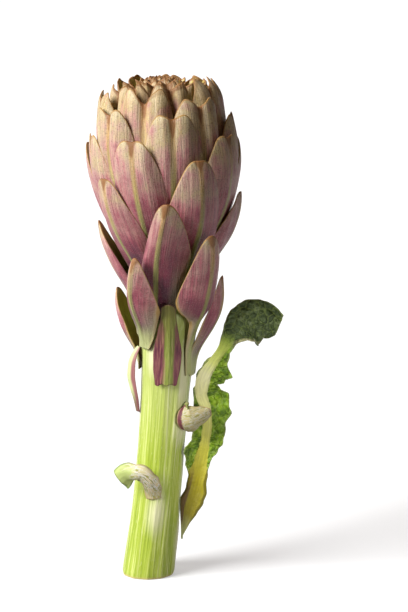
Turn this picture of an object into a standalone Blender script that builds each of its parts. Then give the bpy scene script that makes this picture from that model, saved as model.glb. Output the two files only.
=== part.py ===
"""A purple globe artichoke with its stem and one leaf, standing on the cut end of the stem.

Lengths are in metres and +Z is up, with -Y the front and +X the right. The origin is the middle of the
artichoke's outer box, on the level of the cut face. The pieces are shaped round the middle of the cut face
and moved to the origin last. The bracts, the scales of the bud, follow the spiral that they grow in: each is
one step further round the bud than the one before, and its tip one step higher.
"""

import math

import bpy
from mathutils import Matrix, Quaternion, Vector

MM = 0.001

# Where the middle of the cut face is.
FOOT = (-19.65 * MM, -0.09 * MM, 0)

FRONT = (0, -1, 0)
LEFT = (-1, 0, 0)
FLESH = "flesh"

# Clearance between pieces that touch in nature.
GAP = 0.35 * MM

# The middle line of stem and bud, as (height, shift towards +X).
AXIS_LINE = [
    (0, 0), (18, 2.2), (44, 5.0), (70, 7.2), (96, 9.2), (118, 10.6), (146, 11.4), (180, 11.6),
    (210, 10.6), (235, 9.0), (262, 7.6),
]

# The bud's outline that the bract tips lie on, as (height, radius).
BUD_OUTLINE = [
    (96, 15.0), (116, 17.0), (130, 21.0), (145, 26.8), (160, 31.4), (176, 35.6), (190, 38.4), (203, 40.0),
    (214, 40.3), (225, 39.3), (236, 37.2), (247, 34.6), (256, 31.8), (264, 28.8),
]

# The stem and the heart that it swells into, as (height, radius).
STEM_OUTLINE = [
    (0, 13.5), (18, 12.9), (44, 12.2), (66, 12.0), (90, 12.3), (108, 12.8), (122, 13.5), (132, 14.8),
    (138, 15.6), (142, 15.2), (145, 13.2), (147.6, 9.4), (149, 5.0), (149.6, 0),
]
STEM_OUTLINE_HEART = 6
STEM_ROWS = 14
STEM_STEP = 8.8
SIDES = 32
STEM_RIDGES = 11
RIDGE_DEPTH = 0.25 * MM
RIDGES_END = 122 * MM
RIDGES_FADE = 14 * MM
HEART_WIDEST = 138 * MM
HEART_STEP = 0.02 * MM
SHARP_EDGE = math.radians(50)

# The closed middle of the bud.
BUD_TOP = 260 * MM
BUD_SHOULDER = 236 * MM
BUD_ROWS = 14
BUD_FOLDS = 8
BUD_FOLDS_DEPTH = 0.12
BUD_CLEARANCE = 1.2 * MM

# The spiral: bract 0 faces the front, lower ones count down and inner ones count up.
FIRST_BRACT = -7
LAST_BRACT = 37
TURN = math.radians(-138.05)
START = math.radians(1.0)
TOP_HEIGHT = 263.5 * MM
TIP_DROP = 62.5 * MM
TIP_PACKING = 0.08

# Each bract lies this much deeper in the bud than the one before it.
LAYER = 0.42 * MM

# Bracts that leave the spiral a little: degrees at the tip and at the base, and millimetres of tip height.
STRAYS = {
    -7: (4, 8, -4), -6: (-9, -4, -9), -5: (-1, -24, 0), -3: (-14, -10, 0), -2: (4, 5, 0), 0: (2, -1, 0),
    3: (8, 8, 0), 5: (0, 5, 0), 8: (3, -2, 0), 10: (-2, 3, 0), 13: (4, -4, 0), 15: (-5, 1, 0), 18: (0, -3, 0),
    20: (2, 2, 0), 21: (0, 0, -2.5),
}

# What changes along the spiral, as (bract, value) with lengths in millimetres.
BASE_RADIUS = [(-7, 13.6), (-4, 14.6), (0, 15.6), (5, 13.6), (10, 11.6), (18, 8.9), (27, 6.2), (37, 3.4)]
BASE_HEIGHT = [(-7, 115), (-5, 117), (-3, 126), (0, 138.5)]
BASE_SHARE = [(-7, 0.42), (-5, 0.42), (-3, 0.28), (0, 0.36), (5, 0.5), (20, 0.5), (37, 0.30)]
SPAN = [(-7, 36), (-5, 54), (-2, 60), (37, 62)]
RISE = [(-7, 3.4), (-6, 3.4), (-5, 2.4), (-3, 2.3), (-2, 2.8), (0, 2.6), (37, 2.8)]
HALF_WIDTH = [
    (-7, 8.6), (-5, 8.4), (-3, 12.0), (0, 13.2), (4, 14.8), (8, 14.6), (14, 13.9), (20, 13.0), (28, 11),
    (37, 7),
]
THICKNESS = [(-7, 1.6), (0, 1.5), (8, 1.15), (16, 0.85), (21, 0.85), (28, 0.95), (37, 0.92)]
NOTCH = [(-7, 0.6), (0, 0.8), (8, 1.6), (13, 3.0), (18, 5.0), (21, 6.0), (26, 4.8), (37, 4.0)]
LOBE_PLACE = [(-7, 0.0), (5, 0.08), (13, 0.24), (18, 0.3), (37, 0.3)]
REACH = [(-7, 0.95), (-6, 0.95), (-5, 1.0), (17, 1.0), (22, 0.985), (27, 0.95), (32, 0.89), (37, 0.82)]
CURL = [(-7, 0.8), (16, 1.0), (22, 2.0), (28, 3.6), (37, 6.0)]
TUCK = [(-7, 2.2), (-5, 1.6), (-3, 1.2), (0, 0.8), (4, 0.3), (8, 0.0)]
INNER_DROP = [(26, 0), (29, 2.0), (32, 3.5), (37, 6.0)]
EDGE_FLESH = 0.32

BRACT_COLUMNS = 6
BRACT_ROWS = 8
ROW_SPREAD = 1.2
WIDEST_AT = 0.54
TIP_SHARPNESS = 2.2
TIP_FULLNESS = 0.75
NOTCH_SHARE = 0.42
NOTCH_SHARPNESS = 1.5
CURL_FROM = 0.8
TUCK_FROM = 0.33
TIP_FLESH_POWER = 6

# The small bract that clasps the stem at the front, as (height, half width, clearance behind it).
CLASP = [
    (104, 5.4, 0.4),
    (110, 6.6, 0.5),
    (120, 7.6, 0.6),
    (131, 5.6, 0.7),
    (140, 4.1, 0.9),
    (147.5, 3.4, 2.0),
]
CLASP_THICKNESS = 1.3 * MM
CLASP_SLOPE = 0.2

# Long loose pieces, as (x, y, z, left half width, right half width, roll, cup) in millimetres and degrees.
STRIP = [
    (-4.9, -2.0, 87.5, 1.6, 1.6, 0, 0),
    (-6.6, -2.2, 93.8, 2.4, 2.2, 8, -20),
    (-8.9, -2.4, 100.5, 3.2, 2.8, 16, -30),
    (-10.3, -2.4, 106.5, 3.4, 3.2, 20, -34),
    (-9.9, -2.4, 112.6, 3.0, 3.0, 18, -30),
    (-7.9, -2.2, 117.4, 2.2, 2.2, 8, -20),
    (-5.6, -2.0, 120.6, 1.0, 1.0, 0, 0),
]
STRIP_THICKNESS = 1.1 * MM
LEFT_STUB = [
    (2.6, -13.2, 44.6, 4.6, 5.2, -8, -28),
    (1.6, -15.4, 49.6, 5.0, 5.2, -14, -52),
    (-0.6, -18.2, 54.8, 4.4, 4.6, -18, -60),
    (-5.0, -19.2, 58.2, 4.2, 4.6, -16, -52),
    (-10.2, -17.8, 57.4, 4.4, 4.8, -10, -40),
    (-14.6, -15.6, 53.4, 4.2, 3.6, 0, -24),
]
RIGHT_STUB = [
    (15.2, -13.2, 85.4, 9.4, 9.4, 0, -88),
    (18.8, -15.6, 85.6, 11.2, 11.2, 0, -92),
    (22.8, -16.2, 86.0, 11.6, 11.8, 0, -92),
    (27.0, -14.2, 87.0, 7.0, 7.4, 0, -80),
    (30.8, -11.4, 87.8, 2.2, 2.2, 0, -40),
]
STUB_THICKNESS = 1.2 * MM
LEAF = [
    (16.2, -2.6, 19.0, 0.8, 1.2, 0, 10),
    (18.6, -3.2, 29.0, 2.2, 3.2, -8, 40),
    (21.6, -3.8, 38.5, 3.6, 5.6, -10, 44),
    (23.6, -4.0, 45.0, 3.0, 6.4, -8, 44),
    (25.5, -4.2, 52.0, 3.4, 4.2, -6, 40),
    (27.2, -4.4, 59.5, 7.6, 4.8, -2, 34),
    (28.7, -4.4, 67.0, 9.4, 7.0, 0, 30),
    (29.8, -4.2, 72.5, 6.6, 9.4, 4, 24),
    (30.8, -4.0, 80.5, 8.2, 10.0, 8, 18),
    (30.2, -4.0, 88.5, 6.6, 13.6, 10, 16),
    (27.8, -4.2, 97.0, 3.8, 11.8, 10, 14),
    (28.0, -4.6, 102.5, 3.4, 8.4, 8, 14),
    (29.9, -4.9, 108.0, 3.4, 11.0, 6, 16),
    (33.0, -5.2, 113.0, 3.4, 12.2, 4, 18),
    (36.8, -5.8, 118.6, 3.2, 7.2, 0, 20),
    (40.4, -6.4, 124.4, 3.4, 6.0, 0, 10),
    (44.0, -6.8, 130.6, 5.2, 9.6, 0, -16),
    (48.8, -7.0, 135.4, 8.6, 11.4, 0, -34),
    (54.8, -6.8, 137.4, 9.4, 12.4, 0, -42),
    (61.2, -6.2, 137.6, 8.2, 9.6, 0, -40),
    (67.6, -5.2, 137.0, 3.0, 3.2, 0, -16),
]
LEAF_THICKNESS = 2.6 * MM
BLADE_SHARE = 0.3
LOOSE_EDGE_SHARE = 0.6

# Half the stretch of a loose piece that its direction is taken over, and the cup of a flat one.
RIBBON_STEP = 0.02
FLAT_CUP = 0.01

PURPLE = (0.300, 0.085, 0.135, 1)
BUD_KHAKI = (0.420, 0.330, 0.170, 1)
STEM_GREEN = (0.420, 0.540, 0.100, 1)
LEAF_GREEN = (0.080, 0.150, 0.030, 1)
STUB_GREEN = (0.480, 0.490, 0.230, 1)


def through(points, at):
    """The value at a place on the smooth curve through (place, value) points, flat beyond its ends."""
    places = [place for place, _ in points]
    if at <= places[0]:
        return points[0][1]
    if at >= places[-1]:
        return points[-1][1]
    right = next(k for k, place in enumerate(places) if place > at)
    left = right - 1

    def slope(k):
        """The curve's slope at point k, which is level where the points turn back."""
        if k == 0 or k == len(points) - 1:
            other = 1 if k == 0 else k - 1
            return (points[other][1] - points[k][1]) / (places[other] - places[k])
        before = (points[k][1] - points[k - 1][1]) / (places[k] - places[k - 1])
        after = (points[k + 1][1] - points[k][1]) / (places[k + 1] - places[k])
        return 2 * before * after / (before + after) if before * after > 0 else 0

    span = places[right] - places[left]
    t = (at - places[left]) / span
    rise = points[right][1] - points[left][1]
    start, end = slope(left) * span, slope(right) * span
    return points[left][1] + t * (start + t * (3 * rise - 2 * start - end + t * (start + end - 2 * rise)))


def axis_x(z):
    """How far the middle line is shifted towards +X at height z."""
    return through(AXIS_LINE, z / MM) * MM


def bud_radius(z):
    """The bud's outer radius at height z."""
    return through(BUD_OUTLINE, z / MM) * MM


def stem_radius(z):
    """The radius of the stem, or of the heart on it, at height z."""
    return through(STEM_OUTLINE, z / MM) * MM


def around(radius, turn, z):
    """The point at a radius and a turn about the middle line. Turn 0 is the front, a positive one the right."""
    return Vector((axis_x(z) + radius * math.sin(turn), -radius * math.cos(turn), z))


def round_the_middle(point):
    """The radius, turn and height of a point of a body that is still straight and upright."""
    return math.hypot(point.x, point.y), math.atan2(point.x, -point.y), point.z


def heart_top(radius):
    """The height of the top of the heart at a radius."""
    low, high = HEART_WIDEST, STEM_OUTLINE[-1][0] * MM
    while high - low > HEART_STEP:
        z = (low + high) / 2
        low, high = (z, high) if stem_radius(z) > radius else (low, z)
    return high


def material(name, colour, roughness):
    """A plain Principled material."""
    made = bpy.data.materials.new(name)
    made.use_nodes = True
    shader = made.node_tree.nodes["Principled BSDF"]
    shader.inputs["Base Color"].default_value = colour
    shader.inputs["Roughness"].default_value = roughness
    return made


def finish(obj, name, coating, collection):
    """Names a piece, gives it its material, moves it to its place and puts it in the artichoke's collection."""
    obj.name = obj.data.name = name
    obj.data.materials.clear()
    obj.data.materials.append(coating)
    obj.data.transform(Matrix.Translation(FOOT))
    for owner in list(obj.users_collection):
        owner.objects.unlink(obj)
    collection.objects.link(obj)


def sheet(columns, rows, shape, edge_flesh):
    """A grid whose vertices are moved to shape(across, along): across is -1 to 1 and along is 0 to 1.

    Its vertex group holds how fleshy it is: 1 in the middle and edge_flesh at its two sides and at the tip.
    """
    bpy.ops.mesh.primitive_grid_add(x_subdivisions=columns, y_subdivisions=rows, size=2)
    obj = bpy.context.object
    group = obj.vertex_groups.new(name=FLESH)
    for vertex in obj.data.vertices:
        across, along = vertex.co.x, (vertex.co.y + 1) / 2
        thinned = (1 - edge_flesh) * max(across * across, along ** TIP_FLESH_POWER)
        group.add([vertex.index], 1 - thinned, "REPLACE")
        vertex.co = shape(across, along)
    obj.data.update()
    return obj


def thicken(obj, thickness):
    """Makes a sheet solid, inwards from its face and thinner towards its edges."""
    solid = obj.modifiers.new("thickness", "SOLIDIFY")
    solid.thickness = thickness
    solid.offset = -1
    solid.vertex_group = FLESH


def turned(outline, collection):
    """A body turned about +Z from an outline of (radius, height) that starts and ends on the middle line."""
    mesh = bpy.data.meshes.new("outline")
    edges = [(k, k + 1) for k in range(len(outline) - 1)]
    mesh.from_pydata([(radius, 0, z) for radius, z in outline], edges, [])
    profile = bpy.data.objects.new("outline", mesh)
    collection.objects.link(profile)
    screw = profile.modifiers.new("turn", "SCREW")
    screw.steps = screw.render_steps = SIDES
    screw.use_merge_vertices = True
    screw.merge_threshold = 0.01 * MM
    graph = bpy.context.evaluated_depsgraph_get()
    body = bpy.data.objects.new("body", bpy.data.meshes.new_from_object(profile.evaluated_get(graph)))
    bpy.data.objects.remove(profile)
    body.data.shade_smooth()
    body.data.set_sharp_from_angle(angle=SHARP_EDGE)
    return body


def make_stem(coating, collection):
    """The stem with its flat cut face and the heart that carries the bracts, ridged and bent."""
    low, high = STEM_OUTLINE[0][0], STEM_OUTLINE[-1][0]
    heights = [z for z, _ in reversed(STEM_OUTLINE[STEM_OUTLINE_HEART:-1])]
    heights += [low + STEM_STEP * k for k in reversed(range(STEM_ROWS))]
    outline = [(0, high * MM)] + [(through(STEM_OUTLINE, z) * MM, z * MM) for z in heights] + [(0, low * MM)]
    stem = turned(outline, collection)
    for vertex in stem.data.vertices:
        radius, turn, z = round_the_middle(vertex.co)
        fade = min(1, max(0, (RIDGES_END - z) / RIDGES_FADE)) * min(1, radius / stem_radius(z))
        vertex.co = around(radius + RIDGE_DEPTH * math.cos(STEM_RIDGES * turn) * fade, turn, z)
    finish(stem, "stem", coating, collection)


class Bract:
    """One scale of the bud, by its place in the spiral."""

    def __init__(self, place):
        tip_lean, base_lean, tip_shift = STRAYS.get(place, (0, 0, 0))
        self.place = place
        self.turn = START + place * TURN + math.radians(tip_lean)
        self.sway = math.radians(base_lean - tip_lean)
        self.thickness = through(THICKNESS, place) * MM
        self.notch = through(NOTCH, place) * MM
        self.half_width = through(HALF_WIDTH, place) * MM
        self.reach = through(REACH, place)
        self.curl = through(CURL, place) * MM
        self.tuck = through(TUCK, place) * MM
        self.tip = TOP_HEIGHT - TIP_DROP * math.exp(-TIP_PACKING * place) + tip_shift * MM
        self.top = self.tip + self.notch - through(INNER_DROP, place) * MM
        self.span = through(SPAN, place) * MM
        self.rise = through(RISE, place)
        self.lobe = through(LOBE_PLACE, place)
        self.base_share = through(BASE_SHARE, place)
        self.base_radius = through(BASE_RADIUS, place) * MM
        if place > 0:
            self.base = heart_top(self.base_radius - self.thickness) + GAP
        else:
            self.base = through(BASE_HEIGHT, place) * MM
            self.base_radius = max(self.base_radius, self.clear_of_stem(self.base))
        self.widest = self.base + WIDEST_AT * (self.top - self.base)

    def clear_of_stem(self, z):
        """The least radius of the outer face at height z that keeps the bract off the stem."""
        return stem_radius(z) + GAP + self.thickness

    def depth(self, z):
        """How far the bract lies under the bud's outline at height z."""
        outermost = -math.log(max(TOP_HEIGHT - z, MM) / TIP_DROP) / TIP_PACKING
        return LAYER * max(0, self.place - max(FIRST_BRACT, outermost))

    def radius(self, z):
        """How far the bract's outer face is from the middle line at height z."""
        grown = 1 - (1 - min(1, max(0, z - self.base) / self.span)) ** self.rise
        bent = max(0, (z - self.base) / (self.tip - self.base) - CURL_FROM) / (1 - CURL_FROM)
        outer = self.reach * bud_radius(z) - self.depth(z) - self.curl * bent * bent
        return max(self.base_radius + (outer - self.base_radius) * grown, self.clear_of_stem(z))

    def column_top(self, across):
        """The height of the bract's upper edge at a place across it."""
        beside = max(0, abs(across) - self.lobe) / (1 - self.lobe)
        arch = (1 - beside ** TIP_SHARPNESS) ** TIP_FULLNESS
        dip = self.notch * max(0, 1 - abs(across) / NOTCH_SHARE) ** NOTCH_SHARPNESS
        return self.widest + (self.top - self.widest) * arch - dip

    def width(self, z):
        """Half the bract's width at height z, before its upper edge narrows it."""
        grown = math.sin(math.pi / 2 * min(1, (z - self.base) / (self.widest - self.base)))
        return self.half_width * (self.base_share + (1 - self.base_share) * grown)

    def point(self, across, along):
        """A point of the bract's outer face."""
        z = self.base + along ** ROW_SPREAD * (self.column_top(across) - self.base)
        radius = self.radius(z)
        turn = self.turn + self.sway * (1 - along) + across * self.width(z) / radius
        tucked = self.tuck * across * across * min(1, along / TUCK_FROM)
        return around(max(radius - tucked, self.clear_of_stem(z)), turn, z)


def make_bracts(coating, collection):
    """All the bracts of the bud, numbered from the outermost and lowest."""
    for number, place in enumerate(range(FIRST_BRACT, LAST_BRACT + 1), start=1):
        bract = Bract(place)
        obj = sheet(BRACT_COLUMNS, BRACT_ROWS, bract.point, EDGE_FLESH)
        thicken(obj, bract.thickness)
        finish(obj, f"bract_{number:02d}", coating, collection)


def make_inner_bud(coating, collection):
    """The youngest bracts, still closed over one another, as one ridged body inside the last bract."""
    last = Bract(LAST_BRACT)
    low, high = STEM_OUTLINE[-1][0] * MM + GAP, BUD_TOP

    def radius(z):
        """The largest radius that stays inside the last bract, rounded over at the top."""
        dome = math.sqrt(max(0, 1 - max(0, z - BUD_SHOULDER) ** 2 / (high - BUD_SHOULDER) ** 2))
        return (last.radius(z) - last.thickness - BUD_CLEARANCE) * dome

    heights = [high - (high - low) * k / BUD_ROWS for k in range(1, BUD_ROWS)]
    outline = [(0, high)] + [(radius(z), z) for z in heights] + [(0, low)]
    bud = turned(outline, collection)
    for vertex in bud.data.vertices:
        reach, turn, z = round_the_middle(vertex.co)
        vertex.co = around(reach * (1 - BUD_FOLDS_DEPTH * (1 + math.cos(BUD_FOLDS * turn)) / 2), turn, z)
    finish(bud, "inner_bud", coating, collection)


def off_the_stem(point, clearance):
    """A point, pushed straight out from the stem if it is nearer to it than the clearance."""
    offset = Vector((point.x - axis_x(point.z), point.y, 0))
    least = stem_radius(point.z) + RIDGE_DEPTH + clearance
    if point.z < 0 or offset.length >= least:
        return point
    return point + offset.normalized() * (least - offset.length)


class Ribbon:
    """A long thin piece along a curved middle line, with a left and a right side that cup towards its face."""

    def __init__(self, stations, facing, thickness):
        self.stations = stations
        self.facing = Vector(facing)
        self.thickness = thickness

    def value(self, column, along):
        """One column of the stations at a share of the piece's length."""
        last = len(self.stations) - 1
        return through([(k, station[column]) for k, station in enumerate(self.stations)], along * last)

    def middle(self, along):
        """A point of the middle line."""
        return Vector([self.value(column, along) * MM for column in range(3)])

    def point(self, across, along):
        """A point of the piece's face."""
        before, after = max(0, along - RIBBON_STEP), min(1, along + RIBBON_STEP)
        ahead = (self.middle(after) - self.middle(before)).normalized()
        side = ahead.cross(self.facing).normalized()
        side = Quaternion(ahead, math.radians(self.value(5, along))) @ side
        face = side.cross(ahead)
        width = self.value(3 if across < 0 else 4, along) * MM
        cup = math.radians(self.value(6, along)) or FLAT_CUP
        bent, bend = cup * abs(across), width / cup
        out = side * math.copysign(bend * math.sin(bent), across) + face * bend * (1 - math.cos(bent))
        return off_the_stem(self.middle(along) + out, GAP + self.thickness)


def make_clasping_bract(coating, collection):
    """The small bract at the front that is wrapped round the stem under the bud."""
    behind = Bract(0)
    low, high = CLASP[0][0] * MM, CLASP[-1][0] * MM

    def place(across, along):
        """A point of its outer face."""
        z = low + (high - low) * along
        half_width, clearance = [through([(row[0], row[k]) for row in CLASP], z / MM) * MM for k in (1, 2)]
        bract_behind = behind.radius(max(z, behind.base)) - CLASP_SLOPE * max(0, behind.base - z)
        radius = max(stem_radius(z) + RIDGE_DEPTH, bract_behind) + clearance + CLASP_THICKNESS
        return around(radius, across * half_width / radius, z)

    obj = sheet(BRACT_COLUMNS, BRACT_ROWS, place, EDGE_FLESH)
    thicken(obj, CLASP_THICKNESS)
    finish(obj, "clasping_bract", coating, collection)


def make_ribbon(name, stations, facing, thickness, columns, rows, edge_share, coating, collection):
    """One loose piece of leaf or bract on the stem."""
    obj = sheet(columns, rows, Ribbon(stations, facing, thickness).point, edge_share)
    thicken(obj, thickness)
    finish(obj, name, coating, collection)


def main():
    for obj in list(bpy.data.objects):
        bpy.data.objects.remove(obj)
    collection = bpy.data.collections.new("artichoke")
    bpy.context.scene.collection.children.link(collection)
    bract = material("bract_purple", PURPLE, 0.55)
    bud = material("bud_khaki", BUD_KHAKI, 0.6)
    stem = material("stem_green", STEM_GREEN, 0.5)
    leaf = material("leaf_green", LEAF_GREEN, 0.7)
    stub = material("stub_pale_green", STUB_GREEN, 0.6)
    make_stem(stem, collection)
    make_bracts(bract, collection)
    make_inner_bud(bud, collection)
    make_clasping_bract(bract, collection)
    make_ribbon("side_bract", STRIP, LEFT, STRIP_THICKNESS, 4, 10, LOOSE_EDGE_SHARE, bract, collection)
    make_ribbon("leaf", LEAF, FRONT, LEAF_THICKNESS, 8, 34, BLADE_SHARE, leaf, collection)
    make_ribbon("leaf_stub_left", LEFT_STUB, FRONT, STUB_THICKNESS, 6, 12, LOOSE_EDGE_SHARE, stub, collection)
    make_ribbon("leaf_stub_right", RIGHT_STUB, FRONT, STUB_THICKNESS, 8, 8, LOOSE_EDGE_SHARE, stub, collection)


main()
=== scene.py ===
"""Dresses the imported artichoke: every grown piece gets its fine shape and its living finish.

The artichoke stands on the cut end of its stem, with the bud up, the leaf to the right (+X) and the front
at -Y. The bracts, the scales of the bud, follow the spiral that they grow in: each is one step further round
the bud than the one before it, and its tip one step higher. Lengths in the tables are in millimetres, and
each piece of plant tissue carries two attributes that its finish is painted by:

    surface  (millimetres to the right of the middle, millimetres from the base, a number of its own)
    growth   (share of the length, a share that the piece's finish explains, millimetres to the margin)
"""

from __future__ import annotations

import logging
import math
from collections.abc import Callable
from dataclasses import dataclass, field
from enum import Enum
from functools import reduce

import bpy
import numpy as np
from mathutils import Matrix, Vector

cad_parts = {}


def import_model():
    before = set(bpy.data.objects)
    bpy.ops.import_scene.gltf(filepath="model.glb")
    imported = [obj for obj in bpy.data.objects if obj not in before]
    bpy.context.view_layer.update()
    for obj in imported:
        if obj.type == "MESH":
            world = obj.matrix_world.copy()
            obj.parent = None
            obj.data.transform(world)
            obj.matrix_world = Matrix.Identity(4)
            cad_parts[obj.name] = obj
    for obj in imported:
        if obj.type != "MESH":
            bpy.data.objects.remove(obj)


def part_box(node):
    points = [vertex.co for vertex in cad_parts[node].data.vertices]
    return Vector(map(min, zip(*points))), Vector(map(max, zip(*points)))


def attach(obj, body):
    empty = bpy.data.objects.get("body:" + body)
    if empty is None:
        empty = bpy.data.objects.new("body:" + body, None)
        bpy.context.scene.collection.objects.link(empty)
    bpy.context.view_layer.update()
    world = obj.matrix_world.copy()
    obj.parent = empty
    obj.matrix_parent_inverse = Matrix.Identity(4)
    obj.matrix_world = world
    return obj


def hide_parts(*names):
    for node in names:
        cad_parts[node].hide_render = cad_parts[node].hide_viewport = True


LOG = logging.getLogger("artichoke")

MM = 0.001
BODY = "root"
SURFACE = "surface"
GROWTH = "growth"
FLESH = "flesh"

# Clearance between pieces that touch in nature, and the radius of the stem's cut face, in millimetres.
GAP = 0.35
FOOT_RADIUS = 13.5

# Sockets of the Mix node for colours, and the vector socket of the Attribute node.
MIX_A, MIX_B, MIX_OUT = 6, 7, 2
AS_VECTOR = 1

Array = np.ndarray
Table = list[tuple[float, float]]
Stops = list[tuple[float, str]]
Value = bpy.types.NodeSocket | float | str


class Slot(Enum):
    """The record's material slots."""

    BRACT = "bract"
    INNER_BUD = "inner_bud"
    STEM = "stem"
    LEAF = "leaf"
    LEAF_STUB = "leaf_stub"


class Facing(Enum):
    """The way that the face of a loose piece looks."""

    FRONT = (0.0, -1.0, 0.0)
    FRONT_LEFT = (-0.75, -0.66, 0.0)


# --------------------------------------------------------------------------------------------------
# Small mathematics
# --------------------------------------------------------------------------------------------------


class Smooth:
    """A smooth curve through (place, value) points. It never swings past them and is flat beyond its ends."""

    def __init__(self, points: Table) -> None:
        """Works out the slope at each point.

        Args:
            points: The (place, value) points, in rising order of place.
        """
        self.places, self.values = (np.array(column, float) for column in zip(*points))
        steps = np.diff(self.values) / np.diff(self.places)
        before, after = steps[:-1], steps[1:]
        total = np.where(before + after == 0, 1, before + after)
        inner = np.where(before * after > 0, 2 * before * after / total, 0)
        self.slopes = np.concatenate([steps[:1], inner, steps[-1:]])

    def __call__(self, at: Array | float) -> Array:
        """The value of the curve.

        Args:
            at: One place, or an array of them.

        Returns:
            The values there, in the same shape.
        """
        at = np.clip(at, self.places[0], self.places[-1])
        left = np.clip(np.searchsorted(self.places, at, side="right") - 1, 0, len(self.places) - 2)
        span = self.places[left + 1] - self.places[left]
        t = (at - self.places[left]) / span
        rise = self.values[left + 1] - self.values[left]
        start, end = self.slopes[left] * span, self.slopes[left + 1] * span
        bend = 3 * rise - 2 * start - end + t * (start + end - 2 * rise)
        return self.values[left] + t * (start + t * bend)


def eased(value: Array, low: float, high: float) -> Array:
    """A soft step from 0 at low to 1 at high.

    Args:
        value: What the step is taken over.
        low: Where the step starts.
        high: Where it ends.

    Returns:
        The step's height, 0 to 1.
    """
    t = np.clip((value - low) / (high - low), 0, 1)
    return t * t * (3 - 2 * t)


def hump(value: Array, width: float) -> Array:
    """A bell of height 1 round 0, that has fallen to about a third at the width."""
    return np.exp(-((value / width) ** 2))


def ripple(seed: int, x: Array, y: Array, length_x: float, length_y: float) -> Array:
    """Gentle waves that don't repeat, about -1 to 1.

    Args:
        seed: Which set of waves it is.
        x: Place across, in millimetres.
        y: Place along, in millimetres.
        length_x: Length of the waves across.
        length_y: Length of the waves along.

    Returns:
        The height of the waves.
    """
    draws = np.random.default_rng(seed)
    total = 0
    for _ in range(5):
        turn_x, turn_y = draws.uniform(0.55, 1.6, 2) * 2 * math.pi
        phase_x, phase_y = draws.uniform(0, 2 * math.pi, 2)
        total = total + np.sin(turn_x * x / length_x + phase_x + np.sin(turn_y * y / length_y + phase_y))
    return total / 3


# --------------------------------------------------------------------------------------------------
# Shader building
# --------------------------------------------------------------------------------------------------


def linear(colour: str) -> tuple[float, float, float, float]:
    """The linear colour of an sRGB hex value, such as #8f4558."""
    shares = [int(colour[k:k + 2], 16) / 255 for k in (1, 3, 5)]
    return (*[s / 12.92 if s <= 0.04045 else ((s + 0.055) / 1.055) ** 2.4 for s in shares], 1.0)


def add_node(
    tree: bpy.types.NodeTree, kind: str, inputs: dict | None = None, stops: Stops | None = None,
    **settings: object,
) -> bpy.types.Node:
    """Adds a node with its settings and links.

    Args:
        tree: The node tree that it is added to.
        kind: The node's type.
        inputs: For each input, by name or number, its value, its hex colour, or the output that feeds it.
        stops: The (position, hex colour) stops of a colour ramp.
        **settings: The node's own settings.

    Returns:
        The node.
    """
    node = tree.nodes.new(kind)
    for name, value in settings.items():
        setattr(node, name, value)
    for number, (position, colour) in enumerate(stops or []):
        marks = node.color_ramp.elements
        if 0 < number < len(stops) - 1:
            stop = marks.new(position)
        else:
            stop = marks[-1] if number else marks[0]
        stop.position, stop.color = position, linear(colour)
    for socket, value in (inputs or {}).items():
        if isinstance(value, bpy.types.NodeSocket):
            tree.links.new(value, node.inputs[socket])
        else:
            node.inputs[socket].default_value = linear(value) if isinstance(value, str) else value
    return node


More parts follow.
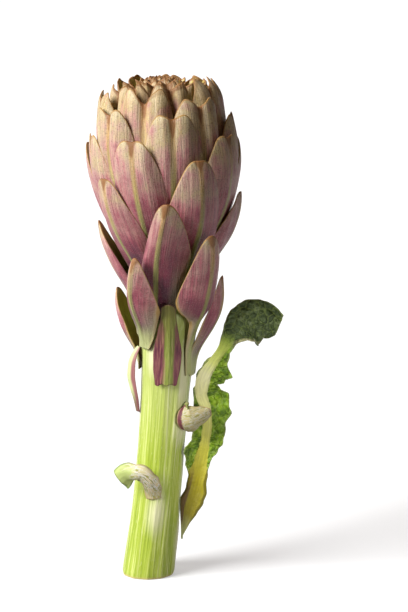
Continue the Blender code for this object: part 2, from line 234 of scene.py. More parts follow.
class Finish:
    """A material and the tree that it is built in. Each kind of tissue is a subclass that paints itself."""

    name = "finish"

    def __init__(self) -> None:
        """Starts an empty material and paints it."""
        self.material = bpy.data.materials.new(self.name)
        self.material.use_nodes = True
        self.tree = self.material.node_tree
        self.tree.nodes.clear()
        surface = self.add("ShaderNodeAttribute", attribute_name=SURFACE)
        growth = self.add("ShaderNodeAttribute", attribute_name=GROWTH)
        self.surface = surface.outputs[AS_VECTOR]
        self.growth = self.add("ShaderNodeSeparateXYZ", {0: growth.outputs[AS_VECTOR]}).outputs
        self.side = self.add("ShaderNodeSeparateXYZ", {0: self.surface}).outputs
        self.paint()

    def add(
        self, kind: str, inputs: dict | None = None, stops: Stops | None = None, **settings: object
    ) -> bpy.types.Node:
        """Adds a node to this material. See add_node."""
        return add_node(self.tree, kind, inputs, stops, **settings)

    def drawn(self, across: float, along: float, deep: float) -> Value:
        """The surface attribute, drawn out by a scale in each direction."""
        return self.add("ShaderNodeMapping", {0: self.surface, "Scale": (across, along, deep)}).outputs[0]

    def noise(self, place: Value, scale: float, detail: float, roughness: float = 0.5) -> Value:
        """Soft noise over a place, with 1 / scale millimetres from one blot to the next."""
        inputs = {"Vector": place, "Scale": scale, "Detail": detail, "Roughness": roughness}
        return self.add("ShaderNodeTexNoise", inputs).outputs[0]

    def maths(self, operation: str, *values: Value) -> Value:
        """The result of a Math node."""
        return self.add("ShaderNodeMath", dict(enumerate(values)), operation=operation).outputs[0]

    def times_plus(self, value: Value, factor: Value, offset: Value) -> Value:
        """A value times a factor, plus an offset."""
        return self.maths("MULTIPLY_ADD", value, factor, offset)

    def times(self, first: Value, *others: Value) -> Value:
        """The product of two or more values."""
        return reduce(lambda product, value: self.maths("MULTIPLY", product, value), others, first)

    def plus(self, first: Value, *others: Value) -> Value:
        """The sum of two or more values."""
        return reduce(lambda total, value: self.maths("ADD", total, value), others, first)

    def minus(self, first: Value, second: Value) -> Value:
        """One value less another."""
        return self.maths("SUBTRACT", first, second)

    def fade(
        self, value: Value, low: float = 0.0, high: float = 1.0, start: float = 0.0, end: float = 1.0,
        soft: bool = False,
    ) -> Value:
        """A number that goes from start to end while a value goes from low to high.

        Args:
            value: The value that is followed.
            low: The value at which the number is start.
            high: The value at which it is end. It may be less than low.
            start: The number at low and beyond it.
            end: The number at high and beyond it.
            soft: Whether it sets out and arrives gently.

        Returns:
            The number's output.
        """
        inputs = {0: value, 1: low, 2: high, 3: start, 4: end}
        kind = "SMOOTHSTEP" if soft else "LINEAR"
        return self.add("ShaderNodeMapRange", inputs, interpolation_type=kind).outputs[0]

    def mix(self, share: Value, under: Value, over: Value, blend: str = "MIX") -> Value:
        """One colour laid over another by a share."""
        inputs = {0: share, MIX_A: under, MIX_B: over}
        return self.add("ShaderNodeMix", inputs, data_type="RGBA", blend_type=blend).outputs[MIX_OUT]

    def ramp(self, value: Value, stops: Stops) -> Value:
        """The colour of a ramp at a value."""
        return self.add("ShaderNodeValToRGB", {0: value}, stops).outputs[0]

    def paint(self) -> None:
        """Builds the material's nodes."""
        raise NotImplementedError

    def close(
        self, colour: bpy.types.NodeSocket, roughness: bpy.types.NodeSocket, height: bpy.types.NodeSocket,
        depth: float, **uniform: float,
    ) -> None:
        """Ends the tree with a Principled shader.

        Args:
            colour: The base colour.
            roughness: The roughness.
            height: The height of the fine relief, 0 to 1.
            depth: What a height of 1 stands for, in millimetres.
            **uniform: Numbers that are the same all over, by the socket's name with _ for a space.
        """
        bump = self.add("ShaderNodeBump", {"Height": height, "Distance": depth * MM, "Strength": 1.0})
        inputs = {"Base Color": colour, "Roughness": roughness, "Normal": bump.outputs[0]}
        inputs |= {name.replace("_", " "): value for name, value in uniform.items()}
        shader = self.add("ShaderNodeBsdfPrincipled", inputs)
        self.add("ShaderNodeOutputMaterial", {0: shader.outputs[0]})


class WaxyBractSkin(Finish):
    """The outer skin of a bract: living leaf tissue with a wax bloom, purple below and khaki at the tip.

    The wax makes it satin and a little milky. Its veins run along it as fine lines, a pale rib runs up its
    middle, and its thin margin dries to tan. The second share of growth is the bract's age, 0 for the
    lowest.
    """

    name = "bract_skin_waxy_purple"

    def paint(self) -> None:
        """Builds the skin's nodes."""
        along, age, lip = self.growth
        beside = self.maths("ABSOLUTE", self.side[0])
        # Streaks 2 mm wide and ten times as long, along the veins.
        streak = self.noise(self.drawn(0.5, 0.045, 1), 1.0, 5.0, 0.62)
        # Veins 0.45 mm apart.
        vein = self.noise(self.drawn(2.2, 0.07, 1), 1.0, 3.0)
        # Clouds of colour about 9 mm across.
        cloud = self.noise(self.surface, 0.11, 3.0)
        # Grains of the wax, 0.5 mm.
        grain = self.noise(self.surface, 2.1, 2.0)

        # The colour ripens up the bract, unevenly, and the inner bracts are riper.
        uneven = self.plus(self.times_plus(streak, 0.45, -0.225), self.times_plus(cloud, 0.8, -0.4))
        ripe = self.plus(along, uneven, self.times_plus(age, 0.2, -0.08))
        colour = self.ramp(ripe, [
            (0.0, "#350a24"), (0.2, "#651b3c"), (0.4, "#8f324d"), (0.58, "#b45f6e"), (0.74, "#c78887"),
            (0.87, "#cba58b"), (0.96, "#c9b37c"), (1.0, "#d2c08e"),
        ])

        # The covered lower sides stay pale.
        low = self.fade(along, 0.62, 0.3, soft=True)
        covered = self.times(self.fade(lip, 6.5, 0.8, soft=True), low, streak)
        colour = self.mix(covered, colour, "#d9d2ae")

        # The rib: yellow-green low down, straw-coloured towards the tip, up to 1.3 mm to each side.
        rib_colour = self.ramp(along, [
            (0.0, "#8f8a4e"), (0.25, "#a2ab58"), (0.55, "#b4b766"), (0.72, "#bfae62"), (0.85, "#cba24e"),
            (1.0, "#c99a4a"),
        ])
        from_rib = self.minus(beside, self.times_plus(streak, 2.2, -0.5))
        rib = self.fade(from_rib, 1.1, 0.0, end=0.85, soft=True)
        colour = self.mix(rib, colour, rib_colour)

        # Veins darken and grains lighten the skin.
        colour = self.mix(1.0, colour, self.fade(vein, 0.35, 0.68, 0.68, 1.18), "MULTIPLY")
        colour = self.mix(self.fade(grain, 0.56, 0.74, end=0.34), colour, "#e9dccd")

        # The wax lies thickest on the upper half, in streaks.
        waxy = self.times(self.fade(streak, 0.36, 0.7, end=0.44), self.fade(along, 0.45, 0.9, soft=True))
        colour = self.mix(waxy, colour, "#f0dcc8")

        # Inside the bud they brown.
        colour = self.mix(self.fade(age, 0.5, 0.8, end=0.45), colour, "#dcbb90", "MULTIPLY")

        # Specks of 0.7 mm where the skin was scratched.
        fleck = self.fade(self.noise(self.surface, 1.35, 3.0, 0.7), 0.54, 0.66, end=0.5)
        colour = self.mix(fleck, colour, "#5c2f2c")

        # The feet of the lowest bracts fade into the green of the stem.
        foot = self.times(self.fade(along, 0.3, 0.08, end=0.8, soft=True), self.fade(age, 0.13, 0.1))
        colour = self.mix(foot, colour, "#bdc583")

        # The margin dries: pale for 1 mm, and tan on about its last 0.5 mm.
        pale = self.fade(lip, 1.1, 0.3, end=0.55, soft=True)
        colour = self.mix(pale, colour, "#d3c391")
        dry = self.minus(lip, self.times_plus(streak, 1.4, -0.25))
        tan = self.fade(dry, 0.1, -0.25, end=0.9, soft=True)
        tan = self.times(tan, self.fade(along, 0.2, 0.4))
        colour = self.mix(tan, colour, self.mix(age, "#b8934f", "#a06a32"))

        # Where the tip is notched it is dry and brown.
        from_notch = self.times_plus(cloud, -4.6, self.times_plus(lip, 0.3, beside))
        spot = self.fade(from_notch, 0.7, -0.7, end=0.85, soft=True)
        colour = self.mix(self.times(spot, self.fade(along, 0.7, 0.85)), colour, "#8a5524")

        # The tips of the young bracts are scorched in patches.
        burnt = self.fade(self.minus(lip, self.times_plus(cloud, 9.0, -3.2)), 0.8, -0.6, soft=True)
        burnt = self.times(burnt, self.fade(age, 0.5, 0.75, end=0.8))
        colour = self.mix(burnt, colour, "#8a5f33")

        roughness = self.fade(grain, 0.3, 0.7, 0.38, 0.54)
        height = self.times_plus(grain, 0.6, vein)
        self.close(colour, roughness, height, 0.42, IOR=1.5, Sheen_Weight=0.05, Sheen_Roughness=0.4)


class BractInside(Finish):
    """The inner face of a bract: smooth and a little shiny, olive at the top and red-brown lower down."""

    name = "bract_inside_olive"

    def paint(self) -> None:
        """Builds the inner face's nodes."""
        along, age, lip = self.growth
        # Streaks 1.5 mm wide along the veins.
        streak = self.noise(self.drawn(0.7, 0.06, 1), 1.0, 4.0)
        colour = self.ramp(self.plus(self.times_plus(streak, 0.5, -0.25), along), [
            (0.0, "#7a4a3a"), (0.3, "#7c6430"), (0.55, "#87852e"), (0.85, "#a3a040"), (1.0, "#b8a45e"),
        ])
        rim = self.fade(lip, 1.2, 0.2, end=0.8, soft=True)
        colour = self.mix(rim, colour, self.mix(age, "#8c6a44", "#a87a48"))
        roughness = self.fade(streak, start=0.32, end=0.5)
        self.close(colour, roughness, streak, 0.2, IOR=1.42)


class RibbedStemSkin(Finish):
    """The skin of the stem: taut, juicy, ribbed with fibres, bright yellow-green with pale lines.

    The second share of growth is how near a point is to a scar or the foot of a bract, 0 to 1.
    """

    name = "stem_skin_ribbed_green"

    def paint(self) -> None:
        """Builds the skin's nodes."""
        along, scar, rim = self.growth
        # Bands 5 mm wide that run the length of the stem.
        band = self.noise(self.drawn(0.2, 0.2, 0.008), 1.0, 2.0)
        # Fibres 0.8 mm apart.
        fibre = self.noise(self.drawn(1.25, 1.25, 0.02), 1.0, 4.0, 0.6)
        # Hairs and marks 0.5 mm wide.
        mark = self.noise(self.drawn(2.0, 2.0, 0.35), 1.0, 2.0)

        colour = self.ramp(self.times_plus(fibre, 0.95, self.times_plus(band, 0.5, -0.02)), [
            (0.42, "#6f8420"), (0.56, "#93a830"), (0.7, "#a9bb43"), (0.82, "#c6d176"), (0.94, "#e6ebb8"),
        ])
        # Towards the bud the skin turns a greyer, paler green.
        colour = self.mix(self.fade(along, 0.5, 0.95, end=0.5, soft=True), colour, "#c3cd84")
        colour = self.mix(self.fade(mark, 0.62, 0.74, end=0.3), colour, "#ecf0c4")
        # Where leaves and bracts grow out the skin is cream.
        hurt = self.fade(self.times(scar, fibre), 0.08, 0.5, end=0.85)
        colour = self.mix(hurt, colour, "#e6e4bd")
        # The last millimetre above the cut has dried to beige.
        colour = self.mix(self.fade(rim, 1.8, 0.3, end=0.85, soft=True), colour, "#cbb97c")
        roughness = self.fade(fibre, 0.3, 0.7, 0.5, 0.33)
        height = self.times_plus(mark, 0.25, fibre)
        self.close(colour, roughness, height, 0.28, IOR=1.42)


class CutPith(Finish):
    """The cut end of the stem: moist, cream-green pith in a ring of stringy fibres."""

    name = "stem_cut_pith"

    def paint(self) -> None:
        """Builds the cut's nodes."""
        _, _, rim = self.growth
        # Fibre ends 1.2 mm apart.
        dots = self.add("ShaderNodeTexVoronoi", {"Vector": self.surface, "Scale": 0.8}).outputs[0]
        blot = self.noise(self.surface, 0.4, 4.0)
        pith = self.ramp(blot, [(0.3, "#c9c48c"), (0.55, "#dcd9a8"), (0.75, "#e8e4bf")])
        ends = self.times(self.fade(dots, 0.35, 0.1, end=0.7), self.fade(rim, 5.0, 2.5, soft=True))
        colour = self.mix(ends, pith, "#9a8a4c")
        roughness = self.fade(blot, start=0.35, end=0.6)
        self.close(colour, roughness, blot, 0.4, IOR=1.4)


class LeafFace(Finish):
    """The upper face of the leaf: dark, wrinkled green with paler veins, on a fleshy cream midrib.

    The second share of growth is 0 in the middle of the midrib, 1 at its side, and more on the blade.
    """

    name = "leaf_face_dark_green"

    def paint(self) -> None:
        """Builds the face's nodes."""
        along, from_rib, lip = self.growth
        # Patches 6 mm across, and a net of veins 4 mm apart.
        patch = self.noise(self.surface, 0.17, 5.0, 0.68)
        bent = self.add("ShaderNodeTexNoise", {"Vector": self.surface, "Scale": 0.3, "Detail": 2.0})
        inputs = {0: bent.outputs[1], 1: (4, 4, 4), 2: self.surface}
        warped = self.add("ShaderNodeVectorMath", inputs, operation="MULTIPLY_ADD")
        inputs = {"Vector": warped.outputs[0], "Scale": 0.26}
        net = self.add("ShaderNodeTexVoronoi", inputs, feature="DISTANCE_TO_EDGE").outputs[0]
        vein = self.fade(net, 0.12, 0.0, end=0.3, soft=True)
        green = self.ramp(patch, [(0.3, "#2e4208"), (0.44, "#54740c"), (0.56, "#7fa316"), (0.7, "#b8cc4c")])
        # The hooded end is felted: greyer and darker.
        hood = self.fade(along, 0.73, 0.8, soft=True)
        felt = self.ramp(patch, [(0.3, "#2a3714"), (0.46, "#43542a"), (0.58, "#647645"), (0.72, "#a0ae7e")])
        green = self.mix(hood, green, felt)
        green = self.mix(vein, green, "#93a44a")
        green = self.mix(self.fade(lip, 1.1, 0.2, end=0.5, soft=True), green, "#a3b068")
        # The hood's lower margin is torn and creamy.
        right, until = self.fade(self.side[0], 0.0, 3.0), self.fade(along, 0.97, 0.9)
        cream = self.times(self.fade(lip, 3.4, 1.6, soft=True), hood, right, until)
        green = self.mix(cream, green, "#cfcd95")
        # The midrib: an olive channel at its foot, straw green, then cream, and green again at the neck.
        rib = self.ramp(along, [
            (0.0, "#c9cf94"), (0.07, "#857b1e"), (0.2, "#a0961a"), (0.32, "#c0bc44"), (0.42, "#dcdc78"),
            (0.52, "#f6f4ae"), (0.6, "#fdfbc2"), (0.66, "#e4ec86"), (0.72, "#b8c858"), (0.78, "#8fa23c"),
        ])
        # Fibres 0.8 mm apart.
        fibre = self.noise(self.drawn(1.2, 0.06, 1), 1.0, 3.0)
        rib = self.mix(1.0, rib, self.fade(fibre, 0.3, 0.7, 0.82, 1.12), "MULTIPLY")
        past_rib = self.minus(from_rib, self.times_plus(patch, 0.6, 0.7))
        blade = self.maths("MAXIMUM", self.fade(past_rib, -0.1, 0.14, soft=True), hood)
        colour = self.mix(blade, rib, green)
        # The channel's left lip is darkened to a thin red-brown line.
        line = self.times(self.fade(self.side[0], -1.6, -2.4), self.fade(along, 0.24, 0.16, end=0.8))
        colour = self.mix(line, colour, "#4a2a22")
        roughness = self.fade(patch, 0.3, 0.7, 0.6, 0.42)
        quilt = self.times(self.fade(net, 0.0, 0.35, soft=True), blade)
        height = self.times_plus(patch, 1.4, quilt)
        self.close(colour, roughness, height, 0.8, IOR=1.42)


class LeafUnderside(Finish):
    """The underside of the leaf: a close white felt of hairs over grey-green, matt."""

    name = "leaf_underside_felt"

    def paint(self) -> None:
        """Builds the felt's nodes."""
        # Felt that lies in tufts of 1 mm, over patches of 6 mm.
        tuft = self.noise(self.surface, 1.1, 4.0)
        patch = self.noise(self.surface, 0.17, 2.0)
        colour = self.ramp(self.times(tuft, patch), [(0.12, "#7d8d66"), (0.25, "#a6b892"), (0.4, "#cbd6bd")])
        roughness = self.fade(tuft, start=0.75, end=0.95)
        self.close(colour, roughness, tuft, 0.35, Sheen_Weight=0.4, Sheen_Roughness=0.5)


class StubFlesh(Finish):
    """A curled stub of a trimmed leaf: dried cream flesh, green at one stub's tip and bruised at the mouth.

    The second share of growth is 0.3 for plain flesh, near 0 for flesh darkened to olive as painted shade,
    1 for green flesh and -1 for bruised flesh.
    """

    name = "stub_flesh_cream"

    def paint(self) -> None:
        """Builds the flesh's nodes."""
        _, state, lip = self.growth
        # Fibres 1 mm apart, and blots of 4 mm.
        fibre = self.noise(self.drawn(1.0, 0.12, 1), 1.0, 4.0)
        blot = self.noise(self.surface, 0.26, 4.0)
        mixed = self.plus(fibre, blot)
        colour = self.ramp(mixed, [
            (0.7, "#8d8945"), (0.88, "#a9a45e"), (1.0, "#c0b878"), (1.14, "#d2c490"), (1.32, "#e0d0aa"),
        ])
        # Painted shade: flesh whose state is below about 0.2 is darkened to olive, mostly on the right stub
        # in the stem's shadow.
        colour = self.mix(self.fade(state, 0.22, 0.1, end=0.6), colour, "#8a8348")
        green = self.fade(self.plus(state, blot), 0.75, 1.15)
        colour = self.mix(green, colour, "#bccb7c")
        colour = self.mix(self.fade(self.plus(state, fibre), 0.2, -0.25), colour, "#5f2a34")
        rim = self.fade(lip, 1.2, 0.2, end=0.75, soft=True)
        colour = self.mix(rim, colour, self.mix(green, "#a98f6a", "#4f6e20"))
        roughness = self.fade(blot, start=0.45, end=0.7)
        self.close(colour, roughness, mixed, 0.12, IOR=1.4)


class StubHollow(Finish):
    """The inside of a curled stub: shaded, from dull green to the dark purple of bruised flesh."""

    name = "stub_hollow_bruised"

    def paint(self) -> None:
        """Builds the hollow's nodes."""
        _, state, _ = self.growth
        blot = self.noise(self.surface, 0.4, 4.0)
        purple = self.ramp(blot, [(0.3, "#4a1d2c"), (0.55, "#7a3f48"), (0.75, "#a9786a")])
        green = self.ramp(blot, [(0.3, "#48591f"), (0.55, "#86934a"), (0.75, "#c3bf8a")])
        colour = self.mix(self.fade(state, -0.1, 0.1), purple, green)
        roughness = self.fade(blot, start=0.4, end=0.6)
        self.close(colour, roughness, blot, 0.5, IOR=1.4)


class ClaspSkin(Finish):
    """The skin of the bract that clasps the stem: a green keel between purple sides, dried in streaks."""

    name = "bract_skin_clasping"

    def paint(self) -> None:
        """Builds the skin's nodes."""
        along, _, lip = self.growth
        streak = self.noise(self.drawn(0.9, 0.07, 1), 1.0, 5.0, 0.65)
        purple = self.ramp(streak, [(0.35, "#4a1d2e"), (0.5, "#6f3642"), (0.6, "#8f5f56"), (0.74, "#c0a274")])
        green = self.ramp(streak, [(0.32, "#5f6a2a"), (0.48, "#87923f"), (0.6, "#a5ab62"), (0.72, "#c8bb86")])
        # The keel lies 0.9 mm right of the middle, 3 mm to each side, and takes the whole width at the top.
        beside = self.maths("ABSOLUTE", self.minus(self.side[0], 0.9))
        off = self.minus(self.times_plus(streak, 6.0, beside), self.fade(along, 0.7, 0.92, end=3.4))
        colour = self.mix(self.fade(off, 6.2, 4.6, soft=True), purple, green)
        colour = self.mix(self.fade(along, 0.45, 0.95, end=0.8), colour, "#665c24")
        colour = self.mix(self.fade(lip, 0.6, 0.15, end=0.6), colour, "#5e2432")
        roughness = self.fade(streak, start=0.4, end=0.6)
        self.close(colour, roughness, streak, 0.4, IOR=1.42)


class StripSkin(Finish):
    """The skin of the thin strip at the left: pale green outside, mauve where it faces the stem."""

    name = "bract_skin_strip"

    def paint(self) -> None:
        """Builds the skin's nodes."""
        along, _, _ = self.growth
        streak = self.noise(self.drawn(0.8, 0.08, 1), 1.0, 4.0)
        side = self.fade(self.side[0], -0.4, 1.0, soft=True)
        green = self.mix(streak, "#b6c477", "#dfe6b6")
        mauve = self.mix(streak, "#7c4048", "#b98784")
        colour = self.mix(side, green, mauve)
        colour = self.mix(self.fade(along, 0.35, 0.1, end=0.85, soft=True), colour, "#6a3a3c")
        roughness = self.fade(streak, start=0.4, end=0.6)
        self.close(colour, roughness, streak, 0.3, IOR=1.42)


# --------------------------------------------------------------------------------------------------
# The body that everything grows on
# --------------------------------------------------------------------------------------------------


@dataclass(frozen=True)
class Trunk:
    """The outlines of stem, heart and bud round their bent middle line, by height above the cut face."""

    foot: tuple[float, float]
    axis: Smooth = Smooth([
        (0, 0), (18, 2.2), (44, 5.0), (70, 7.2), (96, 9.2), (118, 10.6), (146, 11.4), (180, 11.6),
        (210, 10.6), (235, 9.0), (262, 7.6),
    ])
    bud: Smooth = Smooth([
        (96, 15.0), (116, 17.6), (130, 22.2), (145, 27.6), (160, 32.2), (176, 36.4), (190, 39.2),
        (203, 41.0), (214, 41.6), (225, 40.8), (236, 38.6), (247, 35.6), (256, 32.4), (264, 29.0),
    ])
    stem: Smooth = Smooth([
        (0, FOOT_RADIUS), (18, 12.9), (44, 12.2), (66, 12.0), (90, 12.3), (108, 12.8), (122, 13.5),
        (132, 14.8), (138, 15.6), (142, 15.2), (145, 13.2), (147.6, 9.4), (149, 5.0), (149.6, 0),
    ])
    heart_widest: float = 138.0
    heart_top_height: float = 149.6

    def around(self, radius: Array, turn: Array, z: Array) -> Array:
        """Points at a radius and a turn about the middle line, in metres in the artichoke's frame.

        Args:
            radius: Millimetres from the middle line.
            turn: Radians from the front, positive to the right.
            z: Millimetres above the cut face.

        Returns:
            An array of points.
        """
        x = self.foot[0] + self.axis(z) + radius * np.sin(turn)
        y = self.foot[1] - radius * np.cos(turn)
        return np.stack([x, y, z + 0 * x], axis=-1) * MM

    def heart_top(self, radius: float) -> float:
        """The height of the top of the heart at a radius, in millimetres."""
        low, high = self.heart_widest, self.heart_top_height
        while high - low > 0.02:
            z = (low + high) / 2
            low, high = (z, high) if self.stem(z) > radius else (low, z)
        return high

    def off_the_stem(self, points: Array, clearance: float) -> Array:
        """Points about the foot, pushed straight out of the stem where they are too near to it.

        Args:
            points: Points in millimetres from the middle of the cut face.
            clearance: Least distance from the stem, in millimetres.

        Returns:
            The points in metres in the artichoke's frame.
        """
        offset = points[:, :2] - np.stack([self.axis(points[:, 2]), 0 * points[:, 2]], axis=-1)
        distance = np.maximum(np.linalg.norm(offset, axis=-1), 1e-6)
        short = np.maximum(0, self.stem(points[:, 2]) + clearance - distance)
        moved = points.copy()
        moved[:, :2] += offset / distance[:, None] * short[:, None]
        moved[:, :2] += self.foot
        return moved * MM


# --------------------------------------------------------------------------------------------------
# Sheets of tissue
# --------------------------------------------------------------------------------------------------


def activate(obj: bpy.types.Object) -> None:
    """Makes one object the only selected and the active one."""
    bpy.ops.object.select_all(action="DESELECT")
    obj.select_set(True)
    bpy.context.view_layer.objects.active = obj


def points_of(obj: bpy.types.Object) -> Array:
    """An object's points, one row for each."""
    points = np.zeros(len(obj.data.vertices) * 3)
    obj.data.vertices.foreach_get("co", points)
    return points.reshape(-1, 3)


def store(obj: bpy.types.Object, name: str, values: Array) -> None:
    """Keeps a vector for each of an object's points under a name."""
    layer = obj.data.attributes.new(name, "FLOAT_VECTOR", "POINT")
    layer.data.foreach_set("vector", values.astype(np.float32).ravel())


def mount_on_frame(obj: bpy.types.Object, slot: Slot, *nodes: str) -> None:
    """Ties a finished piece to the frame.

    Args:
        obj: The piece.
        slot: A slot of the record. Not used.
        *nodes: The CAD nodes that it stands for.
    """
    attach(obj, BODY)
    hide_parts(*nodes)
    LOG.info("%s: %d faces", obj.name, len(obj.data.polygons))


@dataclass
class Sheet:
    """A thin piece of tissue, modelled as a grid that is bent to its shape, given its flesh and rounded."""

    name: str
    columns: int = 20
    rows: int = 28
    thickness: float = 1.0
    face: Finish | None = None
    back: Finish | None = None

    def shape(self, across: Array, along: Array) -> Array:
        """Points of the face, in metres. across is -1 to 1 and along is 0 to 1."""
        raise NotImplementedError

    def surface(self, across: Array, along: Array) -> Array:
        """The surface attribute."""
        raise NotImplementedError

    def growth(self, across: Array, along: Array) -> Array:
        """The growth attribute."""
        raise NotImplementedError

    def flesh(self, across: Array, along: Array) -> Array:
        """The share of the thickness that each point has."""
        raise NotImplementedError

    def model(self) -> bpy.types.Object:
        """Models the piece.

        Returns:
            The finished object, with its face and its back dressed.
        """
        bpy.ops.object.select_all(action="DESELECT")
        bpy.ops.mesh.primitive_grid_add(x_subdivisions=self.columns, y_subdivisions=self.rows, size=2)
        obj = bpy.context.object
        obj.name = obj.data.name = self.name
        flat = points_of(obj)
        across, along = flat[:, 0], (flat[:, 1] + 1) / 2
        obj.data.vertices.foreach_set("co", self.shape(across, along).ravel())
        store(obj, SURFACE, self.surface(across, along))
        store(obj, GROWTH, self.growth(across, along))
        group = obj.vertex_groups.new(name=FLESH)
        for index, share in enumerate(np.clip(self.flesh(across, along), 0.02, 1)):
            group.add([index], float(share), "REPLACE")
        for finish in (self.face, self.back):
            obj.data.materials.append(finish.material)
        activate(obj)
        solid = obj.modifiers.new("thickness", "SOLIDIFY")
        solid.thickness = self.thickness * MM
        solid.offset = -1
        solid.vertex_group = FLESH
        solid.material_offset = 1
        rounded = obj.modifiers.new("rounded", "SUBSURF")
        rounded.levels = rounded.render_levels = 1
        bpy.ops.object.modifier_apply(modifier=solid.name)
        bpy.ops.object.modifier_apply(modifier=rounded.name)
        bpy.ops.object.shade_smooth()
        return obj


# What changes along the spiral, as (bract, value).
BASE_RADIUS = Smooth([
    (-7, 13.6), (-4, 14.6), (0, 15.6), (5, 13.6), (10, 11.6), (18, 8.9), (27, 6.2), (37, 3.4),
])
BASE_HEIGHT = Smooth([(-7, 109), (-6, 107), (-5, 122), (-4, 118), (-3, 108), (-2, 128), (0, 138.5)])
BASE_SHARE = Smooth([
    (-7, 0.42), (-5, 0.56), (-3, 0.18), (-2, 0.3), (0, 0.82), (5, 0.55), (20, 0.5), (37, 0.3),
])
STALK = Smooth([(-4, 0.0), (-3, 0.74), (-2, 0.0)])
WIDEST = Smooth([(-6, 0.54), (-5, 0.42), (-4, 0.54)])
SPAN = Smooth([(-7, 36), (-5, 54), (-2, 60), (37, 62)])
RISE = Smooth([(-7, 3.4), (-6, 3.4), (-5, 2.8), (-3, 2.3), (-2, 2.8), (0, 3.4), (37, 2.8)])
HALF_WIDTH = Smooth([
    (-7, 9.0), (-5, 7.9), (-3, 12.0), (0, 12.2), (4, 15.2), (8, 16.8), (13, 17.4), (21, 16.4), (28, 12.5),
    (37, 8.5), (62, 4.6),
])
THICKNESS = Smooth([(-7, 1.6), (0, 1.5), (8, 1.3), (16, 1.3), (21, 1.5), (28, 1.6), (37, 1.5), (62, 1.2)])
NOTCH = Smooth([
    (-7, 0.6), (0, 1.0), (8, 2.4), (13, 3.6), (18, 5.5), (21, 9.0), (25, 4.6), (37, 3.0), (62, 1.6),
])
LOBE_PLACE = Smooth([(-7, 0.0), (5, 0.04), (8, 0.1), (13, 0.22), (21, 0.31), (37, 0.32)])
REACH = Smooth([
    (-7, 0.95), (-6, 0.95), (-5, 1.0), (17, 1.0), (22, 0.97), (27, 0.91), (32, 0.83), (37, 0.75),
])
FULLNESS = Smooth([
    (-7, 0.8), (0, 0.92), (5, 0.86), (8, 0.78), (13, 0.62), (20, 0.44), (40, 0.42), (62, 0.46),
])
CURL = Smooth([(-7, 1.2), (0, 1.8), (8, 2.4), (16, 3.6), (22, 6.4), (28, 8.0), (37, 8.5), (62, 3.5)])
TUCK = Smooth([(-7, 2.2), (-5, 1.6), (-3, 1.2), (0, 0.8), (4, 0.3), (8, 0.0)])
INNER_DROP = Smooth([(24, 0), (27, 2.2), (32, 4.2), (37, 5.0), (50, 4.5), (62, 5.5)])
PUFF = Smooth([(0, 0.0), (8, 0.7), (16, 1.9), (24, 2.4), (40, 1.6), (62, 0.6)])
EDGE_FLESH = Smooth([(-7, 0.42), (8, 0.5), (20, 0.6), (62, 0.6)])
STAND = Smooth([(38, 15.5), (50, 9.5), (62, 2.5)])
CREASE = Smooth([(0, 0.0), (8, 0.7), (16, 1.9), (24, 2.6), (40, 1.6), (62, 0.8)])
KEEL = Smooth([(-7, 3.0), (0, 4.4), (8, 5.6), (20, 4.8), (30, 2.4), (37, 1.0), (62, 0.4)])
RIB = Smooth([(-7, 0.55), (3, 0.5), (12, 0.3), (30, 0.15), (62, 0.1)])

# Bracts that leave the spiral a little: degrees at the tip and at the base, millimetres up at the tip,
# millimetres outwards, and millimetres that the middle bulges.
STRAYS = {
    -7: (0, 6, -4, 1.0, 3.0), -6: (-33, -36, -3, -2.8, 5.0), -5: (1, -27, 2.6, -0.5, 3.4),
    -3: (-21, -4, 0, 0, 2.6), -2: (-11, 16, -4, -2.2, 0), 0: (-1, -25, 0, 1.6, 0),
    2: (-5, 0, -8, -2.6, 0), 3: (4, 4, -3, -0.6, 0), 5: (-6.5, 1, 0, 0, 0),
    7: (0, 0, 0, -1.6, 0), 8: (0.6, 1, 0, 0, 0), 10: (-5, 0, -4.5, 0, 0), 11: (0, 0, -8, 0, 0),
    13: (2, -5, 0, 0, 0), 15: (-5, 1, -6.5, 0, 0), 16: (-4, -3, -4.5, 0, 0), 18: (0, -3, -2.5, 0, 0),
    19: (23, 9, -3.2, 0, 0), 20: (2, 2, 0, 0, 0), 21: (0, 0, -4.5, 0, 0), 22: (-10, -4, -1.6, 0, 0),
    24: (11, 5, -3.0, 0, 0), 32: (0, 0, -1.5, 0, 0),
}


